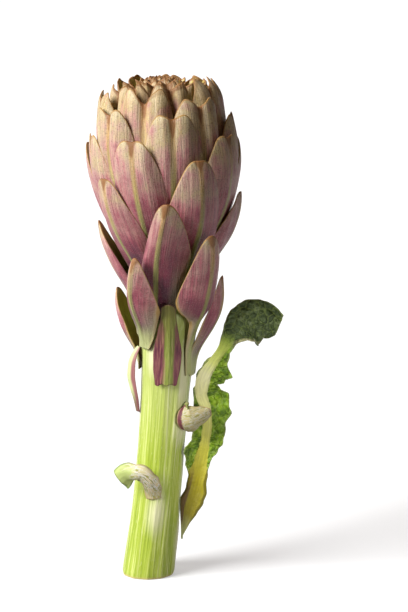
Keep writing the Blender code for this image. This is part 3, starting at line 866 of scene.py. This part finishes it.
@dataclass
class Bract(Sheet):
    """One scale of the bud, by its place in the spiral: bract 0 faces the front, and inner ones count up."""

    columns: int = 26
    place: int = 0
    trunk: Trunk | None = None
    first: int = -7
    oldest_inner: int = 37
    turn_step: float = math.radians(-138.05)
    start: float = math.radians(1.0)
    top_height: float = 263.5
    tip_drop: float = 62.5
    tip_packing: float = 0.08
    layer: float = 0.75
    keel_inset: float = 0.5
    row_spread: float = 1.2
    tip_sharpness: float = 1.8
    notch_share: float = 0.36
    notch_sharpness: float = 1.15
    curl_from: float = 0.74
    tuck_from: float = 0.33
    rib_half_width: float = 1.1
    crease_half_width: float = 1.5
    lobe_middle: float = 0.4
    lobe_half_width: float = 0.3
    grain_length: float = 40.0
    furrow_depth: float = 0.09
    furrow_spacing: tuple[float, float] = (2.6, 40.0)
    swell_depth: float = 0.22
    swell_spacing: tuple[float, float] = (11.0, 26.0)
    furrow_seed: int = 50
    swell_seed: int = 150

    def __post_init__(self) -> None:
        """Works out the bract's own sizes from its place in the spiral."""
        tip_lean, base_lean, tip_shift, self.stray, self.bulge = STRAYS.get(self.place, (0, 0, 0, 0, 0))
        self.turn = self.start + self.place * self.turn_step + math.radians(tip_lean)
        self.sway = math.radians(base_lean - tip_lean)
        self.thickness = float(THICKNESS(self.place))
        self.notch = float(NOTCH(self.place))
        self.lobe = float(LOBE_PLACE(self.place))
        tip_gap = self.tip_drop * math.exp(-self.tip_packing * self.place)
        self.tip = self.top_height - tip_gap + tip_shift
        self.top = self.tip + self.notch - float(INNER_DROP(self.place))
        self.base_radius = float(BASE_RADIUS(self.place))
        if self.place > 0:
            self.base = self.trunk.heart_top(self.base_radius - self.thickness) + GAP
        else:
            self.base = float(BASE_HEIGHT(self.place))
            self.base_radius = max(self.base_radius, float(self.clear_of_stem(self.base)))
        self.widest = self.base + float(WIDEST(self.place)) * (self.top - self.base)

    def clear_of_stem(self, z: Array) -> Array:
        """The least radius of the face at height z that keeps the bract off the stem."""
        return self.trunk.stem(z) + GAP + self.thickness

    def depth(self, z: Array) -> Array:
        """How far the bract lies under the bud's outline at height z."""
        outermost = -np.log(np.maximum(self.top_height - z, 1) / self.tip_drop) / self.tip_packing
        return self.layer * np.maximum(0, self.place - np.maximum(self.first, outermost))

    def curl(self, z: Array) -> Array:
        """How far the upper end curls inwards at height z."""
        bent = np.maximum(0, (z - self.base) / (self.tip - self.base) - self.curl_from) / (1 - self.curl_from)
        return CURL(self.place) * bent * bent

    def radius(self, z: Array) -> Array:
        """How far the bract's face is from the middle line at height z."""
        grown = 1 - (1 - np.clip((z - self.base) / SPAN(self.place), 0, 1)) ** RISE(self.place)
        outer = REACH(self.place) * self.trunk.bud(z) + self.stray - self.keel_inset * KEEL(self.place)
        outer = outer - self.depth(z) - self.curl(z)
        swollen = self.bulge * np.sin(math.pi * np.clip((z - self.base) / (self.top - self.base), 0, 1))
        radius = self.base_radius + (outer - self.base_radius) * grown + swollen
        return np.maximum(radius, self.clear_of_stem(z))

    def column_top(self, across: Array) -> Array:
        """The height of the upper edge at a place across."""
        beside = np.maximum(0, np.abs(across) - self.lobe) / (1 - self.lobe)
        arch = np.maximum(0, 1 - beside ** self.tip_sharpness) ** FULLNESS(self.place)
        dip = self.notch * np.maximum(0, 1 - np.abs(across) / self.notch_share) ** self.notch_sharpness
        return self.widest + (self.top - self.widest) * arch - dip

    def width(self, z: Array) -> Array:
        """Half the width at height z, before the upper edge narrows it."""
        share, stalk = BASE_SHARE(self.place), STALK(self.place)
        up = np.clip((z - self.base) / (self.widest - self.base), 0, 1)
        grown = np.sin(math.pi / 2 * np.maximum(0, (up - stalk) / (1 - stalk))) ** (1 - 0.6 * stalk)
        return HALF_WIDTH(self.place) * (share + (1 - share) * grown)

    def height(self, across: Array, along: Array) -> Array:
        """The height of a point of the bract."""
        return self.base + along ** self.row_spread * (self.column_top(across) - self.base)

    def relief(self, across: Array, along: Array, z: Array) -> Array:
        """How far the fine shape stands out from the plain one: rib, crease, full lobes and furrows."""
        x, y = across * self.width(z), along * self.grain_length
        inside = eased(1 - np.abs(across), 0, 0.3)
        rib = RIB(self.place) * hump(x, self.rib_half_width) * eased(along, 0.02, 0.2) * (1 - 0.4 * along)
        crease = CREASE(self.place) * hump(x, self.crease_half_width) * eased(along, 0.62, 1.0)
        from_lobe = (np.abs(across) - self.lobe_middle) / self.lobe_half_width
        lobes = PUFF(self.place) * hump(from_lobe, 1.0) * eased(along, 0.5, 0.85)
        furrows = self.furrow_depth * ripple(self.place + self.furrow_seed, x, y, *self.furrow_spacing)
        swells = self.swell_depth * ripple(self.place + self.swell_seed, x, y, *self.swell_spacing)
        keel = KEEL(self.place) * (1 - np.abs(across) ** 1.5) * eased(along, 0.28, 0.72)
        return rib + lobes + keel - crease + (furrows + swells) * inside

    def shape(self, across: Array, along: Array) -> Array:
        """Points of the outer face."""
        z = self.height(across, along)
        radius = self.radius(z)
        turn = self.turn + self.sway * (1 - along) + across * self.width(z) / radius
        tucked = TUCK(self.place) * across * across * np.minimum(1, along / self.tuck_from)
        radius = np.maximum(radius - tucked, self.clear_of_stem(z)) + self.relief(across, along, z)
        return self.trunk.around(radius, turn, z)

    def surface(self, across: Array, along: Array) -> Array:
        """Millimetres across and up the face, and a number of the bract's own."""
        z = self.height(across, along)
        return np.stack([across * self.width(z), z - self.base, 0 * z + 7.3 * self.place], axis=-1)

    def growth(self, across: Array, along: Array) -> Array:
        """Share of the length, the bract's age, and millimetres to the margin."""
        z = self.height(across, along)
        lip = np.minimum((1 - np.abs(across)) * self.width(z), self.column_top(across) - z)
        share = (z - self.base) / (self.top - self.base)
        age = np.clip((self.place - self.first) / (self.oldest_inner - self.first), 0, 1)
        return np.stack([share, 0 * z + age, lip], axis=-1)

    def flesh(self, across: Array, along: Array) -> Array:
        """Full in the middle, thin at the sides and the tip."""
        return 1 - (1 - EDGE_FLESH(self.place)) * np.maximum(across * across, along ** 6)


@dataclass
class YoungBract(Bract):
    """One of the small bracts that close the middle of the bud. It grows from the side of the young heart."""

    core: Callable[[Array], Array] | None = None
    foot_height: float = 204.0
    curl_from: float = 0.62
    least_stand: float = 0.8
    columns: int = 12
    rows: int = 18

    def __post_init__(self) -> None:
        """Works out the bract's sizes, with its foot on the young heart."""
        super().__post_init__()
        self.base = self.foot_height
        self.widest = self.base + float(WIDEST(self.place)) * (self.top - self.base)

    def radius(self, z: Array) -> Array:
        """How far the face is from the middle line, never inside the young heart."""
        stand = STAND(self.place) - self.curl(z)
        return np.maximum(np.maximum(stand, self.least_stand), self.core(z) + self.thickness)


# --------------------------------------------------------------------------------------------------
# Turned bodies
# --------------------------------------------------------------------------------------------------


def start_ball(name: str, segments: int, rings: int) -> tuple[bpy.types.Object, Array, Array]:
    """Adds the sphere that a turned body is shaped from.

    Args:
        name: The body's name.
        segments: Faces round it.
        rings: Faces from its bottom to its top.

    Returns:
        The object, and for each point its turn from the front in radians and its share of the way up.
    """
    bpy.ops.object.select_all(action="DESELECT")
    bpy.ops.mesh.primitive_uv_sphere_add(segments=segments, ring_count=rings, radius=1)
    obj = bpy.context.object
    obj.name = obj.data.name = name
    ball = points_of(obj)
    turn = np.arctan2(ball[:, 0], -ball[:, 1])
    share = np.clip(np.arccos(np.clip(-ball[:, 2], -1, 1)) / math.pi, 0, 1)
    return obj, turn, share


@dataclass
class Stem:
    """The stem with its flat cut face and the heart that carries the bracts."""

    trunk: Trunk
    skin: Finish
    pith: Finish
    name: str = "stem_skin"
    segments: int = 176
    rings: int = 150
    face_rings: int = 12
    rim_rounding: float = 0.5
    ridges: int = 11
    ridge_depth: float = 0.14
    groove_depth: float = 0.05
    ridges_end: float = 122.0
    ridges_fade: float = 14.0
    wave_depth: float = 0.2
    wave_spacing: tuple[float, float] = (30.0, 45.0)
    wave_seed: int = 5
    # Scars and the feet of leaves and bracts, as (turn in degrees, height, reach round, reach up, swelling).
    swellings: list[tuple[float, float, float, float, float]] = field(default_factory=lambda: [
        (2, 36, 5.0, 12, 0.9), (48, 80, 3.8, 9, 0.9), (44, 106, 3.4, 22, 1.0), (-34, 118, 4.0, 10, 0.8),
        (76, 20, 4.0, 12, 0.8), (-78, 86, 2.2, 6, 0.5),
    ])

    def outline(self, share: Array) -> tuple[Array, Array, Array]:
        """The stem's outline from the middle of the cut face up to the top of the heart.

        Args:
            share: Where on the outline, 0 to 1, in equal steps of the rings.

        Returns:
            Radius and height in millimetres, and 1 on the cut face and 0 elsewhere.
        """
        split = self.face_rings / self.rings
        under = np.clip(share / split, 0, 1)
        up = np.clip((share - split) / (1 - split), 0, 1)
        z = self.trunk.heart_top_height * (1 - (1 - up) ** 1.25)
        radius = np.where(share < split, under * FOOT_RADIUS, self.trunk.stem(z))
        rounding = self.rim_rounding * np.where(share < split, under ** 12, np.exp(-z / self.rim_rounding))
        lift = np.where(share < split, 0.5 * self.rim_rounding * under ** 12, 0)
        return radius - 0.5 * rounding, z + lift, (share < split).astype(float)

    def swollen(self, turn: Array, z: Array) -> tuple[Array, Array]:
        """The swelling at scars and leaf feet.

        Args:
            turn: Radians from the front.
            z: Height in millimetres.

        Returns:
            Millimetres of swelling, and how near the point is to a scar, 0 to 1.
        """
        swell, scar = 0 * z, 0 * z
        for degrees, height, reach_round, reach_up, amount in self.swellings:
            away = (turn - math.radians(degrees) + math.pi) % (2 * math.pi) - math.pi
            near = hump(away * self.trunk.stem(z), reach_round) * hump(z - height, reach_up)
            swell, scar = swell + amount * near, np.maximum(scar, near)
        return swell, scar

    def model(self) -> None:
        """Models the stem from a sphere whose rings are led along the outline."""
        obj, turn, share = start_ball(self.name, self.segments, self.rings)
        plain, z, cut = self.outline(share)
        fade = np.clip((self.ridges_end - z) / self.ridges_fade, 0, 1) * np.minimum(1, plain / FOOT_RADIUS)
        drift = 0.25 * np.sin(z / 31)
        fine = np.cos(37 * turn + 3 * drift) + 0.6 * np.cos(23 * turn - 2 * drift + 1)
        swell, scar = self.swollen(turn, z)
        round_it = turn * 12 * np.sign(np.pi - np.abs(turn))
        waves = self.wave_depth * ripple(self.wave_seed, round_it, z, *self.wave_spacing)
        ribs = self.ridge_depth * np.cos(self.ridges * turn + drift) + self.groove_depth * fine
        ribs += waves * hump(turn / 2.6, 1.0)
        radius = plain + (ribs + swell * (1 - cut)) * fade
        obj.data.vertices.foreach_set("co", self.trunk.around(radius, turn, z).ravel())
        straight = np.stack([radius * np.sin(turn), -radius * np.cos(turn), z], axis=-1)
        store(obj, SURFACE, straight)
        rim = np.where(cut > 0, FOOT_RADIUS - plain, z)
        store(obj, GROWTH, np.stack([z / self.ridges_end, scar, rim], axis=-1))
        obj.data.materials.append(self.skin.material)
        obj.data.materials.append(self.pith.material)
        for face in obj.data.polygons:
            face.material_index = int(max(obj.data.vertices[k].co.z for k in face.vertices) < 0.3 * MM)
        obj.data.update()
        activate(obj)
        bpy.ops.object.shade_smooth_by_angle(angle=math.radians(50))
        mount_on_frame(obj, Slot.STEM, "stem")


@dataclass
class YoungHeart:
    """The closed middle of the bud: a ridged dome, and the young bracts that grow out of it."""

    trunk: Trunk
    skin: Finish
    inside: Finish
    first: int = 38
    last: int = 62
    top: float = 250.0
    dome: Smooth = Smooth([(150, 2.4), (162, 6.5), (190, 11.0), (222, 11.5), (236, 9.0), (250, 4.5)])
    folds: int = 8

    def core(self, z: Array) -> Array:
        """The dome's radius at height z, in millimetres."""
        return self.dome(z) * np.sqrt(np.clip((self.top - z) / 4, 0, 1))

    def model_core(self) -> None:
        """Models the dome from a sphere."""
        obj, turn, share = start_ball("young_heart", segments=64, rings=48)
        low = self.trunk.heart_top_height + GAP
        z = low + (self.top - low) * share
        closed = np.sqrt(np.clip(share / 0.06, 0, 1))
        radius = self.core(z) * closed * (1 - 0.06 * (1 + np.cos(self.folds * turn + z / 12)))
        obj.data.vertices.foreach_set("co", self.trunk.around(radius, turn, z).ravel())
        store(obj, SURFACE, np.stack([radius * np.sin(turn), z - low, radius * np.cos(turn)], axis=-1))
        store(obj, GROWTH, np.stack([0.45 + 0 * z, 1 + 0 * z, 6 + 0 * z], axis=-1))
        obj.data.materials.append(self.inside.material)
        obj.data.update()
        activate(obj)
        bpy.ops.object.shade_smooth()
        mount_on_frame(obj, Slot.INNER_BUD, "inner_bud")

    def model(self) -> None:
        """Models the dome and its bracts."""
        self.model_core()
        for number, place in enumerate(range(self.first, self.last + 1), start=1):
            bract = YoungBract(
                name=f"young_bract_{number:02d}", place=place, trunk=self.trunk, core=self.core,
                face=self.skin, back=self.inside,
            )
            mount_on_frame(bract.model(), Slot.INNER_BUD, "inner_bud")


@dataclass
class Bud:
    """The bracts of the bud, numbered from the outermost and lowest."""

    trunk: Trunk
    skin: Finish
    inside: Finish
    first: int = -7
    last: int = 37

    def model(self) -> None:
        """Models all the bracts."""
        for number, place in enumerate(range(self.first, self.last + 1), start=1):
            bract = Bract(name=f"bract_{number:02d}_scale", place=place, trunk=self.trunk,
                          face=self.skin, back=self.inside)
            mount_on_frame(bract.model(), Slot.BRACT, f"bract_{number:02d}")


# --------------------------------------------------------------------------------------------------
# Pieces on the stem
# --------------------------------------------------------------------------------------------------


@dataclass
class ClaspingBract(Sheet):
    """The small bract at the front that is wrapped round the stem under the bud."""

    trunk: Trunk | None = None
    columns: int = 26
    rows: int = 40
    thickness: float = 1.3
    low: float = 104.0
    high: float = 147.5
    slope: float = 0.2
    ridge_depth: float = 0.25
    keel_height: float = 0.55
    keel_shift: float = 0.9
    furrow_depth: float = 0.15
    raggedness: float = 1.1
    bluntness: float = 1.8
    lip_curl: float = 0.5
    half_width: Smooth = Smooth([(104, 5.4), (110, 6.6), (120, 7.6), (131, 5.6), (140, 4.1), (147.5, 3.4)])
    clearance: Smooth = Smooth([(104, 0.4), (110, 0.5), (120, 0.6), (131, 0.7), (140, 0.9), (147.5, 2.0)])

    def height(self, across: Array, along: Array) -> Array:
        """The height of a point, with a ragged foot and a blunt top."""
        torn = ripple(71, across * 7, 0 * along, 4.2, 9.0) * (1 - eased(along, 0, 0.25))
        blunt = self.bluntness * across * across * eased(along, 0.8, 1.0)
        return self.low + (self.high - self.low) * along + self.raggedness * torn - blunt

    def shape(self, across: Array, along: Array) -> Array:
        """Points of the outer face."""
        z = self.height(across, along)
        behind = Bract(name="", place=0, trunk=self.trunk)
        outer = behind.radius(np.maximum(z, behind.base)) - self.slope * np.maximum(0, behind.base - z)
        radius = np.maximum(self.trunk.stem(z) + self.ridge_depth, outer) + self.clearance(z) + self.thickness
        x = across * self.half_width(z)
        keel = self.keel_height * hump(x - self.keel_shift, 2.0)
        keel += self.furrow_depth * ripple(72, x, z, 2.0, 30.0)
        curled = self.lip_curl * across * across * (1 - eased(along, 0.1, 0.5))
        return self.trunk.around(radius + keel + curled, x / radius, z)

    def surface(self, across: Array, along: Array) -> Array:
        """Millimetres across and up the face."""
        z = self.height(across, along)
        return np.stack([across * self.half_width(z), z - self.low, 0 * z], axis=-1)

    def growth(self, across: Array, along: Array) -> Array:
        """Share of the length, nothing, and millimetres to the margin."""
        z = self.height(across, along)
        to_end = (self.high - self.low) * np.minimum(along, 1 - along)
        lip = np.minimum((1 - np.abs(across)) * self.half_width(z), to_end)
        return np.stack([along, 0 * z, lip], axis=-1)

    def flesh(self, across: Array, along: Array) -> Array:
        """Full in the middle, thin at the edges."""
        return 1 - 0.6 * np.maximum(across * across, (2 * along - 1) ** 6)


@dataclass
class Ribbon(Sheet):
    """A long thin piece along a curved middle line, with left and right sides that cup towards its face."""

    trunk: Trunk | None = None
    stations: list[tuple[float, ...]] = field(default_factory=list)
    facing: Facing = Facing.FRONT
    wave: float = 0.0
    wave_length: float = 8.0
    tatter: float = 0.0
    edge_flesh: float = 0.5
    state: Smooth = Smooth([(0, 0), (0.5, 0), (1, 0)])
    stretch: float = 0.02
    standoff: float = 0.8

    def __post_init__(self) -> None:
        """Lays a smooth curve through each column of the stations."""
        last = len(self.stations) - 1
        places = [k / last for k in range(last + 1)]
        self.curves = [Smooth(list(zip(places, column))) for column in zip(*self.stations)]
        steps = np.diff([station[:3] for station in self.stations], axis=0)
        self.length = float(np.linalg.norm(steps, axis=1).sum())

    def middle(self, along: Array) -> Array:
        """Points of the middle line, in millimetres from the middle of the cut face."""
        return np.stack([curve(along) for curve in self.curves[:3]], axis=-1)

    def side_width(self, across: Array, along: Array) -> Array:
        """Half the width on the side that a point is on, with a tattered edge."""
        plain = np.where(across < 0, self.curves[3](along), self.curves[4](along))
        torn = ripple(31, np.sign(across) * 50 + 0 * along, along * self.length, 9.0, 5.0)
        return plain * (1 + self.tatter * torn * np.abs(across))

    def relief(self, across: Array, along: Array) -> Array:
        """How far the fine shape stands out towards the face, in millimetres."""
        x = across * self.side_width(across, along)
        waves = ripple(self.columns, x, along * self.length, self.wave_length, self.wave_length * 1.4)
        return self.wave * waves * np.abs(across) ** 1.5

    def shape(self, across: Array, along: Array) -> Array:
        """Points of the face."""
        ahead = self.middle(np.minimum(1, along + self.stretch))
        ahead -= self.middle(np.maximum(0, along - self.stretch))
        ahead /= np.linalg.norm(ahead, axis=-1, keepdims=True)
        side = np.cross(ahead, np.array(self.facing.value))
        side /= np.linalg.norm(side, axis=-1, keepdims=True)
        roll = np.radians(self.curves[5](along))[:, None]
        side = side * np.cos(roll) + np.cross(ahead, side) * np.sin(roll)
        face = np.cross(side, ahead)
        cup = np.radians(self.curves[6](along))
        cup = np.where(np.abs(cup) < 0.01, 0.01, cup)
        bent, bend = cup * np.abs(across), self.side_width(across, along) / cup
        out = side * (np.sign(across) * bend * np.sin(bent))[:, None]
        out += face * (bend * (1 - np.cos(bent)) + self.relief(across, along))[:, None]
        return self.trunk.off_the_stem(self.middle(along) + out, GAP + 0.3 + self.thickness * self.standoff)

    def surface(self, across: Array, along: Array) -> Array:
        """Millimetres across and along the face."""
        return np.stack([across * self.side_width(across, along), along * self.length, 0 * along], axis=-1)

    def growth(self, across: Array, along: Array) -> Array:
        """Share of the length, the piece's own share, and millimetres to the margin."""
        to_end = self.length * np.minimum(along, 1 - along)
        lip = np.minimum((1 - np.abs(across)) * self.side_width(across, along), to_end)
        return np.stack([along, self.state(along), lip], axis=-1)

    def flesh(self, across: Array, along: Array) -> Array:
        """Full in the middle, thinner at the edges."""
        return 1 - (1 - self.edge_flesh) * np.abs(across) ** 1.5


@dataclass
class Leaf(Ribbon):
    """The leaf: a fleshy midrib with a dark, torn and wrinkled blade, hooded at its end."""

    rib_height: float = 0.9
    quilt_height: float = 0.35
    pucker_height: float = 0.3
    blade_thinness: float = 0.78
    rib_width: Smooth = Smooth([
        (0.0, 6.0), (0.14, 8.0), (0.2, 6.5), (0.26, 3.4), (0.36, 2.4), (0.46, 2.7), (0.56, 3.6), (0.64, 2.8),
        (0.7, 2.4), (0.76, 3.2), (0.84, 1.6), (1.0, 0.8),
    ])

    def from_rib(self, across: Array, along: Array) -> Array:
        """0 in the middle of the midrib, 1 at its side and more on the blade."""
        return np.abs(across) * self.side_width(across, along) / self.rib_width(along)

    def relief(self, across: Array, along: Array) -> Array:
        """The round midrib, the quilted blade and its wavy margin, in millimetres."""
        blade = eased(self.from_rib(across, along), 0.8, 1.5)
        x, y = across * self.side_width(across, along), along * self.length
        quilt = self.quilt_height * ripple(41, x + 0.4 * y, y, 5.0, 6.0)
        quilt += self.pucker_height * ripple(42, x - 0.6 * y, y, 3.4, 5.0)
        waves = self.wave * ripple(43, 0 * x + np.sign(across) * 20, y, 30.0, 11.0) * np.abs(across) ** 2
        round_rib = self.rib_height * np.sqrt(np.clip(1 - self.from_rib(across, along) ** 2, 0, 1))
        round_rib = round_rib * eased(along, 0.28, 0.4) * (1 - eased(along, 0.7, 0.78))
        return blade * (quilt + waves) + round_rib

    def growth(self, across: Array, along: Array) -> Array:
        """Share of the length, distance from the midrib over its width, and millimetres to the margin."""
        values = super().growth(across, along)
        values[:, 1] = self.from_rib(across, along)
        return values

    def flesh(self, across: Array, along: Array) -> Array:
        """A thick midrib in a thin blade."""
        hooded = eased(along, 0.7, 0.8)
        thin = np.maximum(eased(self.from_rib(across, along), 0.6, 1.4), hooded)
        return (1 - self.blade_thinness * thin) * (0.2 + 0.8 * eased(along, 0, 0.12))


# Stations along each piece's middle line: x, y and z from the middle of the cut face, the widths of its left
# and right sides, its roll and its cupping in degrees.
STRIP = [
    (-4.9, -4.0, 87.5, 1.2, 1.2, 0, 0),
    (-5.9, -4.4, 93.8, 2.0, 1.8, 4, -20),
    (-7.5, -4.8, 100.5, 2.9, 2.4, 8, -34),
    (-8.6, -4.8, 106.5, 3.2, 2.8, 10, -40),
    (-8.2, -4.6, 112.6, 2.9, 2.6, 8, -34),
    (-6.7, -4.2, 117.6, 2.2, 2.0, 4, -24),
    (-4.2, -3.8, 122.0, 1.0, 1.0, 0, 0),
]
LEFT_STUB = [
    (3.6, -13.4, 43.6, 3.4, 4.0, -8, -28),
    (2.4, -15.4, 48.6, 5.2, 5.8, -14, -52),
    (0.2, -18.6, 53.6, 5.6, 6.4, -26, -64),
    (-4.2, -19.8, 57.0, 5.4, 7.0, -30, -66),
    (-9.2, -18.2, 56.8, 5.4, 7.6, -22, -54),
    (-14.0, -15.6, 53.6, 6.2, 6.4, -6, -26),
]
RIGHT_STUB = [
    (15.2, -13.2, 85.4, 9.4, 9.4, 0, -88),
    (18.4, -15.6, 85.6, 11.4, 11.4, 0, -92),
    (22.4, -16.2, 86.0, 11.8, 12.2, 0, -92),
    (26.8, -14.4, 87.4, 8.4, 9.0, 0, -84),
    (30.4, -12.0, 88.6, 4.6, 5.4, 0, -60),
    (33.0, -10.4, 89.4, 1.6, 2.0, 0, -30),
]
LEAF = [
    (16.2, -2.6, 19.0, 0.8, 1.2, 0, 10),
    (18.6, -3.2, 29.0, 2.2, 3.2, -8, 40),
    (21.6, -3.8, 38.5, 3.6, 5.6, -10, 44),
    (23.6, -4.0, 45.0, 3.0, 6.4, -8, 44),
    (25.5, -4.2, 52.0, 3.4, 4.2, -6, 40),
    (27.2, -4.4, 59.5, 7.6, 4.8, -2, 34),
    (28.7, -4.4, 67.0, 9.4, 7.0, 0, 30),
    (29.8, -4.2, 72.5, 6.6, 9.4, 4, 24),
    (30.8, -4.0, 80.5, 8.2, 10.0, 8, 18),
    (30.2, -4.0, 88.5, 6.6, 13.6, 10, 16),
    (27.8, -4.2, 97.0, 3.8, 11.8, 10, 14),
    (28.0, -4.6, 102.5, 3.4, 8.4, 8, 14),
    (29.9, -4.9, 108.0, 3.4, 11.0, 6, 16),
    (33.0, -5.2, 113.0, 2.8, 12.2, 4, 18),
    (36.8, -5.8, 118.6, 2.2, 5.6, 0, 20),
    (40.4, -6.4, 124.4, 2.8, 4.8, 0, 10),
    (44.0, -6.8, 130.6, 5.4, 10.0, 0, -16),
    (48.8, -7.0, 135.4, 8.6, 15.6, 0, -34),
    (54.8, -6.8, 137.4, 9.6, 16.8, 0, -42),
    (61.8, -6.2, 136.8, 8.0, 14.6, 0, -40),
    (68.4, -5.2, 134.6, 3.4, 8.0, 0, -16),
]


@dataclass
class Trimmings:
    """What is left on the stem: the clasping bract, a strip of bract, the leaf and two stubs of leaves."""

    trunk: Trunk

    def model(self) -> None:
        """Models and dresses the five pieces."""
        inside, flesh, hollow = BractInside(), StubFlesh(), StubHollow()
        clasp = ClaspingBract(name="clasping_bract_scale", trunk=self.trunk, face=ClaspSkin(), back=inside)
        mount_on_frame(clasp.model(), Slot.BRACT, "clasping_bract")
        strip = Ribbon(
            name="side_bract_strip", trunk=self.trunk, stations=STRIP, facing=Facing.FRONT_LEFT,
            thickness=1.1, columns=12, rows=48, face=StripSkin(), back=inside,
        )
        mount_on_frame(strip.model(), Slot.BRACT, "side_bract")
        leaf = Leaf(
            name="leaf_blade", trunk=self.trunk, stations=LEAF, thickness=2.6, columns=36, rows=150,
            wave=1.1, tatter=0.13, face=LeafFace(), back=LeafUnderside(),
        )
        mount_on_frame(leaf.model(), Slot.LEAF, "leaf")
        left = Ribbon(
            name="leaf_stub_left_curl", trunk=self.trunk, stations=LEFT_STUB, thickness=1.3, columns=20,
            rows=40, wave=0.9, tatter=0.1, face=flesh, back=hollow,
            state=Smooth([(0, -0.2), (0.25, 0.2), (0.6, 0.3), (0.85, 0.7), (1, 1)]),
        )
        mount_on_frame(left.model(), Slot.LEAF_STUB, "leaf_stub_left")
        right = Ribbon(
            name="leaf_stub_right_cornet", trunk=self.trunk, stations=RIGHT_STUB, thickness=1.2,
            columns=32, rows=36, wave=0.7, tatter=0.08, face=flesh, back=hollow,
            # Its state stays near 0 along the middle, so its flesh is darkened to olive as painted shade of
            # the stem's shadow; it falls towards -1 at the bruised ends.
            state=Smooth([(0, -1), (0.12, -0.9), (0.24, 0), (0.6, 0.1), (0.82, 0), (1, -0.7)]),
        )
        mount_on_frame(right.model(), Slot.LEAF_STUB, "leaf_stub_right")


# --------------------------------------------------------------------------------------------------
# The studio
# --------------------------------------------------------------------------------------------------


@dataclass(frozen=True)
class Lamp:
    """A lamp that hangs round the artichoke and looks at a point of it: a far soft box or a card near it."""

    name: str
    kind: str
    azimuth: float
    elevation: float
    energy: float
    spread: float
    distance: float = 1.0
    height: float = 0.13
    size: float = 0.08
    colour: str = "#ffffff"

    def hang(self) -> None:
        """Hangs the lamp."""
        turn, rise = math.radians(self.azimuth), math.radians(self.elevation)
        back = Vector((math.sin(turn) * math.cos(rise), -math.cos(turn) * math.cos(rise), math.sin(rise)))
        data = bpy.data.lights.new(self.name, self.kind)
        data.energy, data.color = self.energy, linear(self.colour)[:3]
        if self.kind == "SUN":
            data.angle = math.radians(self.spread)
        else:
            data.spot_size, data.spot_blend, data.shadow_soft_size = math.radians(self.spread), 1.0, self.size
        lamp = bpy.data.objects.new(self.name, data)
        lamp.location = Vector((0, 0, self.height)) + back * self.distance
        lamp.rotation_mode = "QUATERNION"
        lamp.rotation_quaternion = (-back).to_track_quat("-Z", "Y")
        bpy.context.scene.collection.objects.link(lamp)


@dataclass
class Studio:
    """A white floor, soft lamps and the camera."""

    trunk: Trunk
    floor_side: float = 6.0
    floor_colour: str = "#cacccf"
    floor_glow: str = "#fcfdff"
    floor_glow_strength: float = 0.42
    camera_place: tuple[float, float, float] = (29.2, -1020.0, 349.7)
    camera_pitch: float = 11.5
    lens: float = 120.0
    lamps: list[Lamp] = field(default_factory=lambda: [
        Lamp("key_far_softbox", "SUN", -63, 34, 5.7, 36, colour="#fffefb"),
        Lamp("back_fill", "SUN", -158, 30, 0.8, 70, colour="#ffe8d8"),
        Lamp("low_card", "SPOT", 34, 4, 5.6, 26, distance=0.5, height=0.066),
    ])

    def make_world(self) -> None:
        """A surround that the camera sees white, and that lights the artichoke only a little."""
        world = bpy.data.worlds.new("studio_white")
        bpy.context.scene.world = world
        world.use_nodes = True
        tree = world.node_tree
        tree.nodes.clear()
        seen = add_node(tree, "ShaderNodeLightPath").outputs["Is Camera Ray"]
        strength = add_node(tree, "ShaderNodeMapRange", {0: seen, 3: 0.1, 4: 1.05}).outputs[0]
        inputs = {0: seen, MIX_A: "#ffe6d8", MIX_B: "#ffffff"}
        colour = add_node(tree, "ShaderNodeMix", inputs, data_type="RGBA").outputs[MIX_OUT]
        back = add_node(tree, "ShaderNodeBackground", {0: colour, 1: strength})
        add_node(tree, "ShaderNodeOutputWorld", {0: back.outputs[0]})

    def make_floor(self) -> None:
        """A plain white floor with a little light of its own, so that shadows on it stay pale."""
        bpy.ops.object.select_all(action="DESELECT")
        bpy.ops.mesh.primitive_plane_add(size=self.floor_side)
        floor = bpy.context.object
        floor.name = "studio_floor"
        material = bpy.data.materials.new("floor_white_paper")
        material.use_nodes = True
        shader = material.node_tree.nodes["Principled BSDF"]
        shader.inputs["Base Color"].default_value = linear(self.floor_colour)
        shader.inputs["Roughness"].default_value = 0.9
        shader.inputs["Emission Color"].default_value = linear(self.floor_glow)
        shader.inputs["Emission Strength"].default_value = self.floor_glow_strength
        floor.data.materials.append(material)
        floor.visible_diffuse = False

    def make_camera(self) -> None:
        """The camera, a little above the bud and looking down on it."""
        data = bpy.data.cameras.new("studio_camera")
        data.sensor_width, data.lens = 36, self.lens
        camera = bpy.data.objects.new("studio_camera", data)
        x, y, z = self.camera_place
        camera.location = ((x + self.trunk.foot[0]) * MM, (y + self.trunk.foot[1]) * MM, z * MM)
        camera.rotation_euler = (math.radians(90 - self.camera_pitch), 0, 0)
        bpy.context.scene.collection.objects.link(camera)
        bpy.context.scene.camera = camera

    def build(self) -> None:
        """Builds the studio."""
        self.make_world()
        self.make_floor()
        self.make_camera()
        for lamp in self.lamps:
            lamp.hang()
        bpy.context.scene.view_settings.view_transform = "Standard"


def find_foot() -> tuple[float, float]:
    """The middle of the cut face, in millimetres, read from the stem's box.

    Returns:
        Its x and y. The stem leans to +X from its foot, so its box starts at the foot's left side.
    """
    low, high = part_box("stem")
    return low.x / MM + FOOT_RADIUS, (low.y + high.y) / 2 / MM


def main() -> None:
    """Builds the artichoke piece by piece."""
    logging.basicConfig(level=logging.INFO, format="%(message)s")
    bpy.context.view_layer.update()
    trunk = Trunk(foot=find_foot())
    Studio(trunk).build()
    skin, inside = WaxyBractSkin(), BractInside()
    Stem(trunk, RibbedStemSkin(), CutPith()).model()
    Bud(trunk, skin, inside).model()
    YoungHeart(trunk, skin, inside).model()
    Trimmings(trunk).model()


if __name__ == "__main__":
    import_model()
    main()
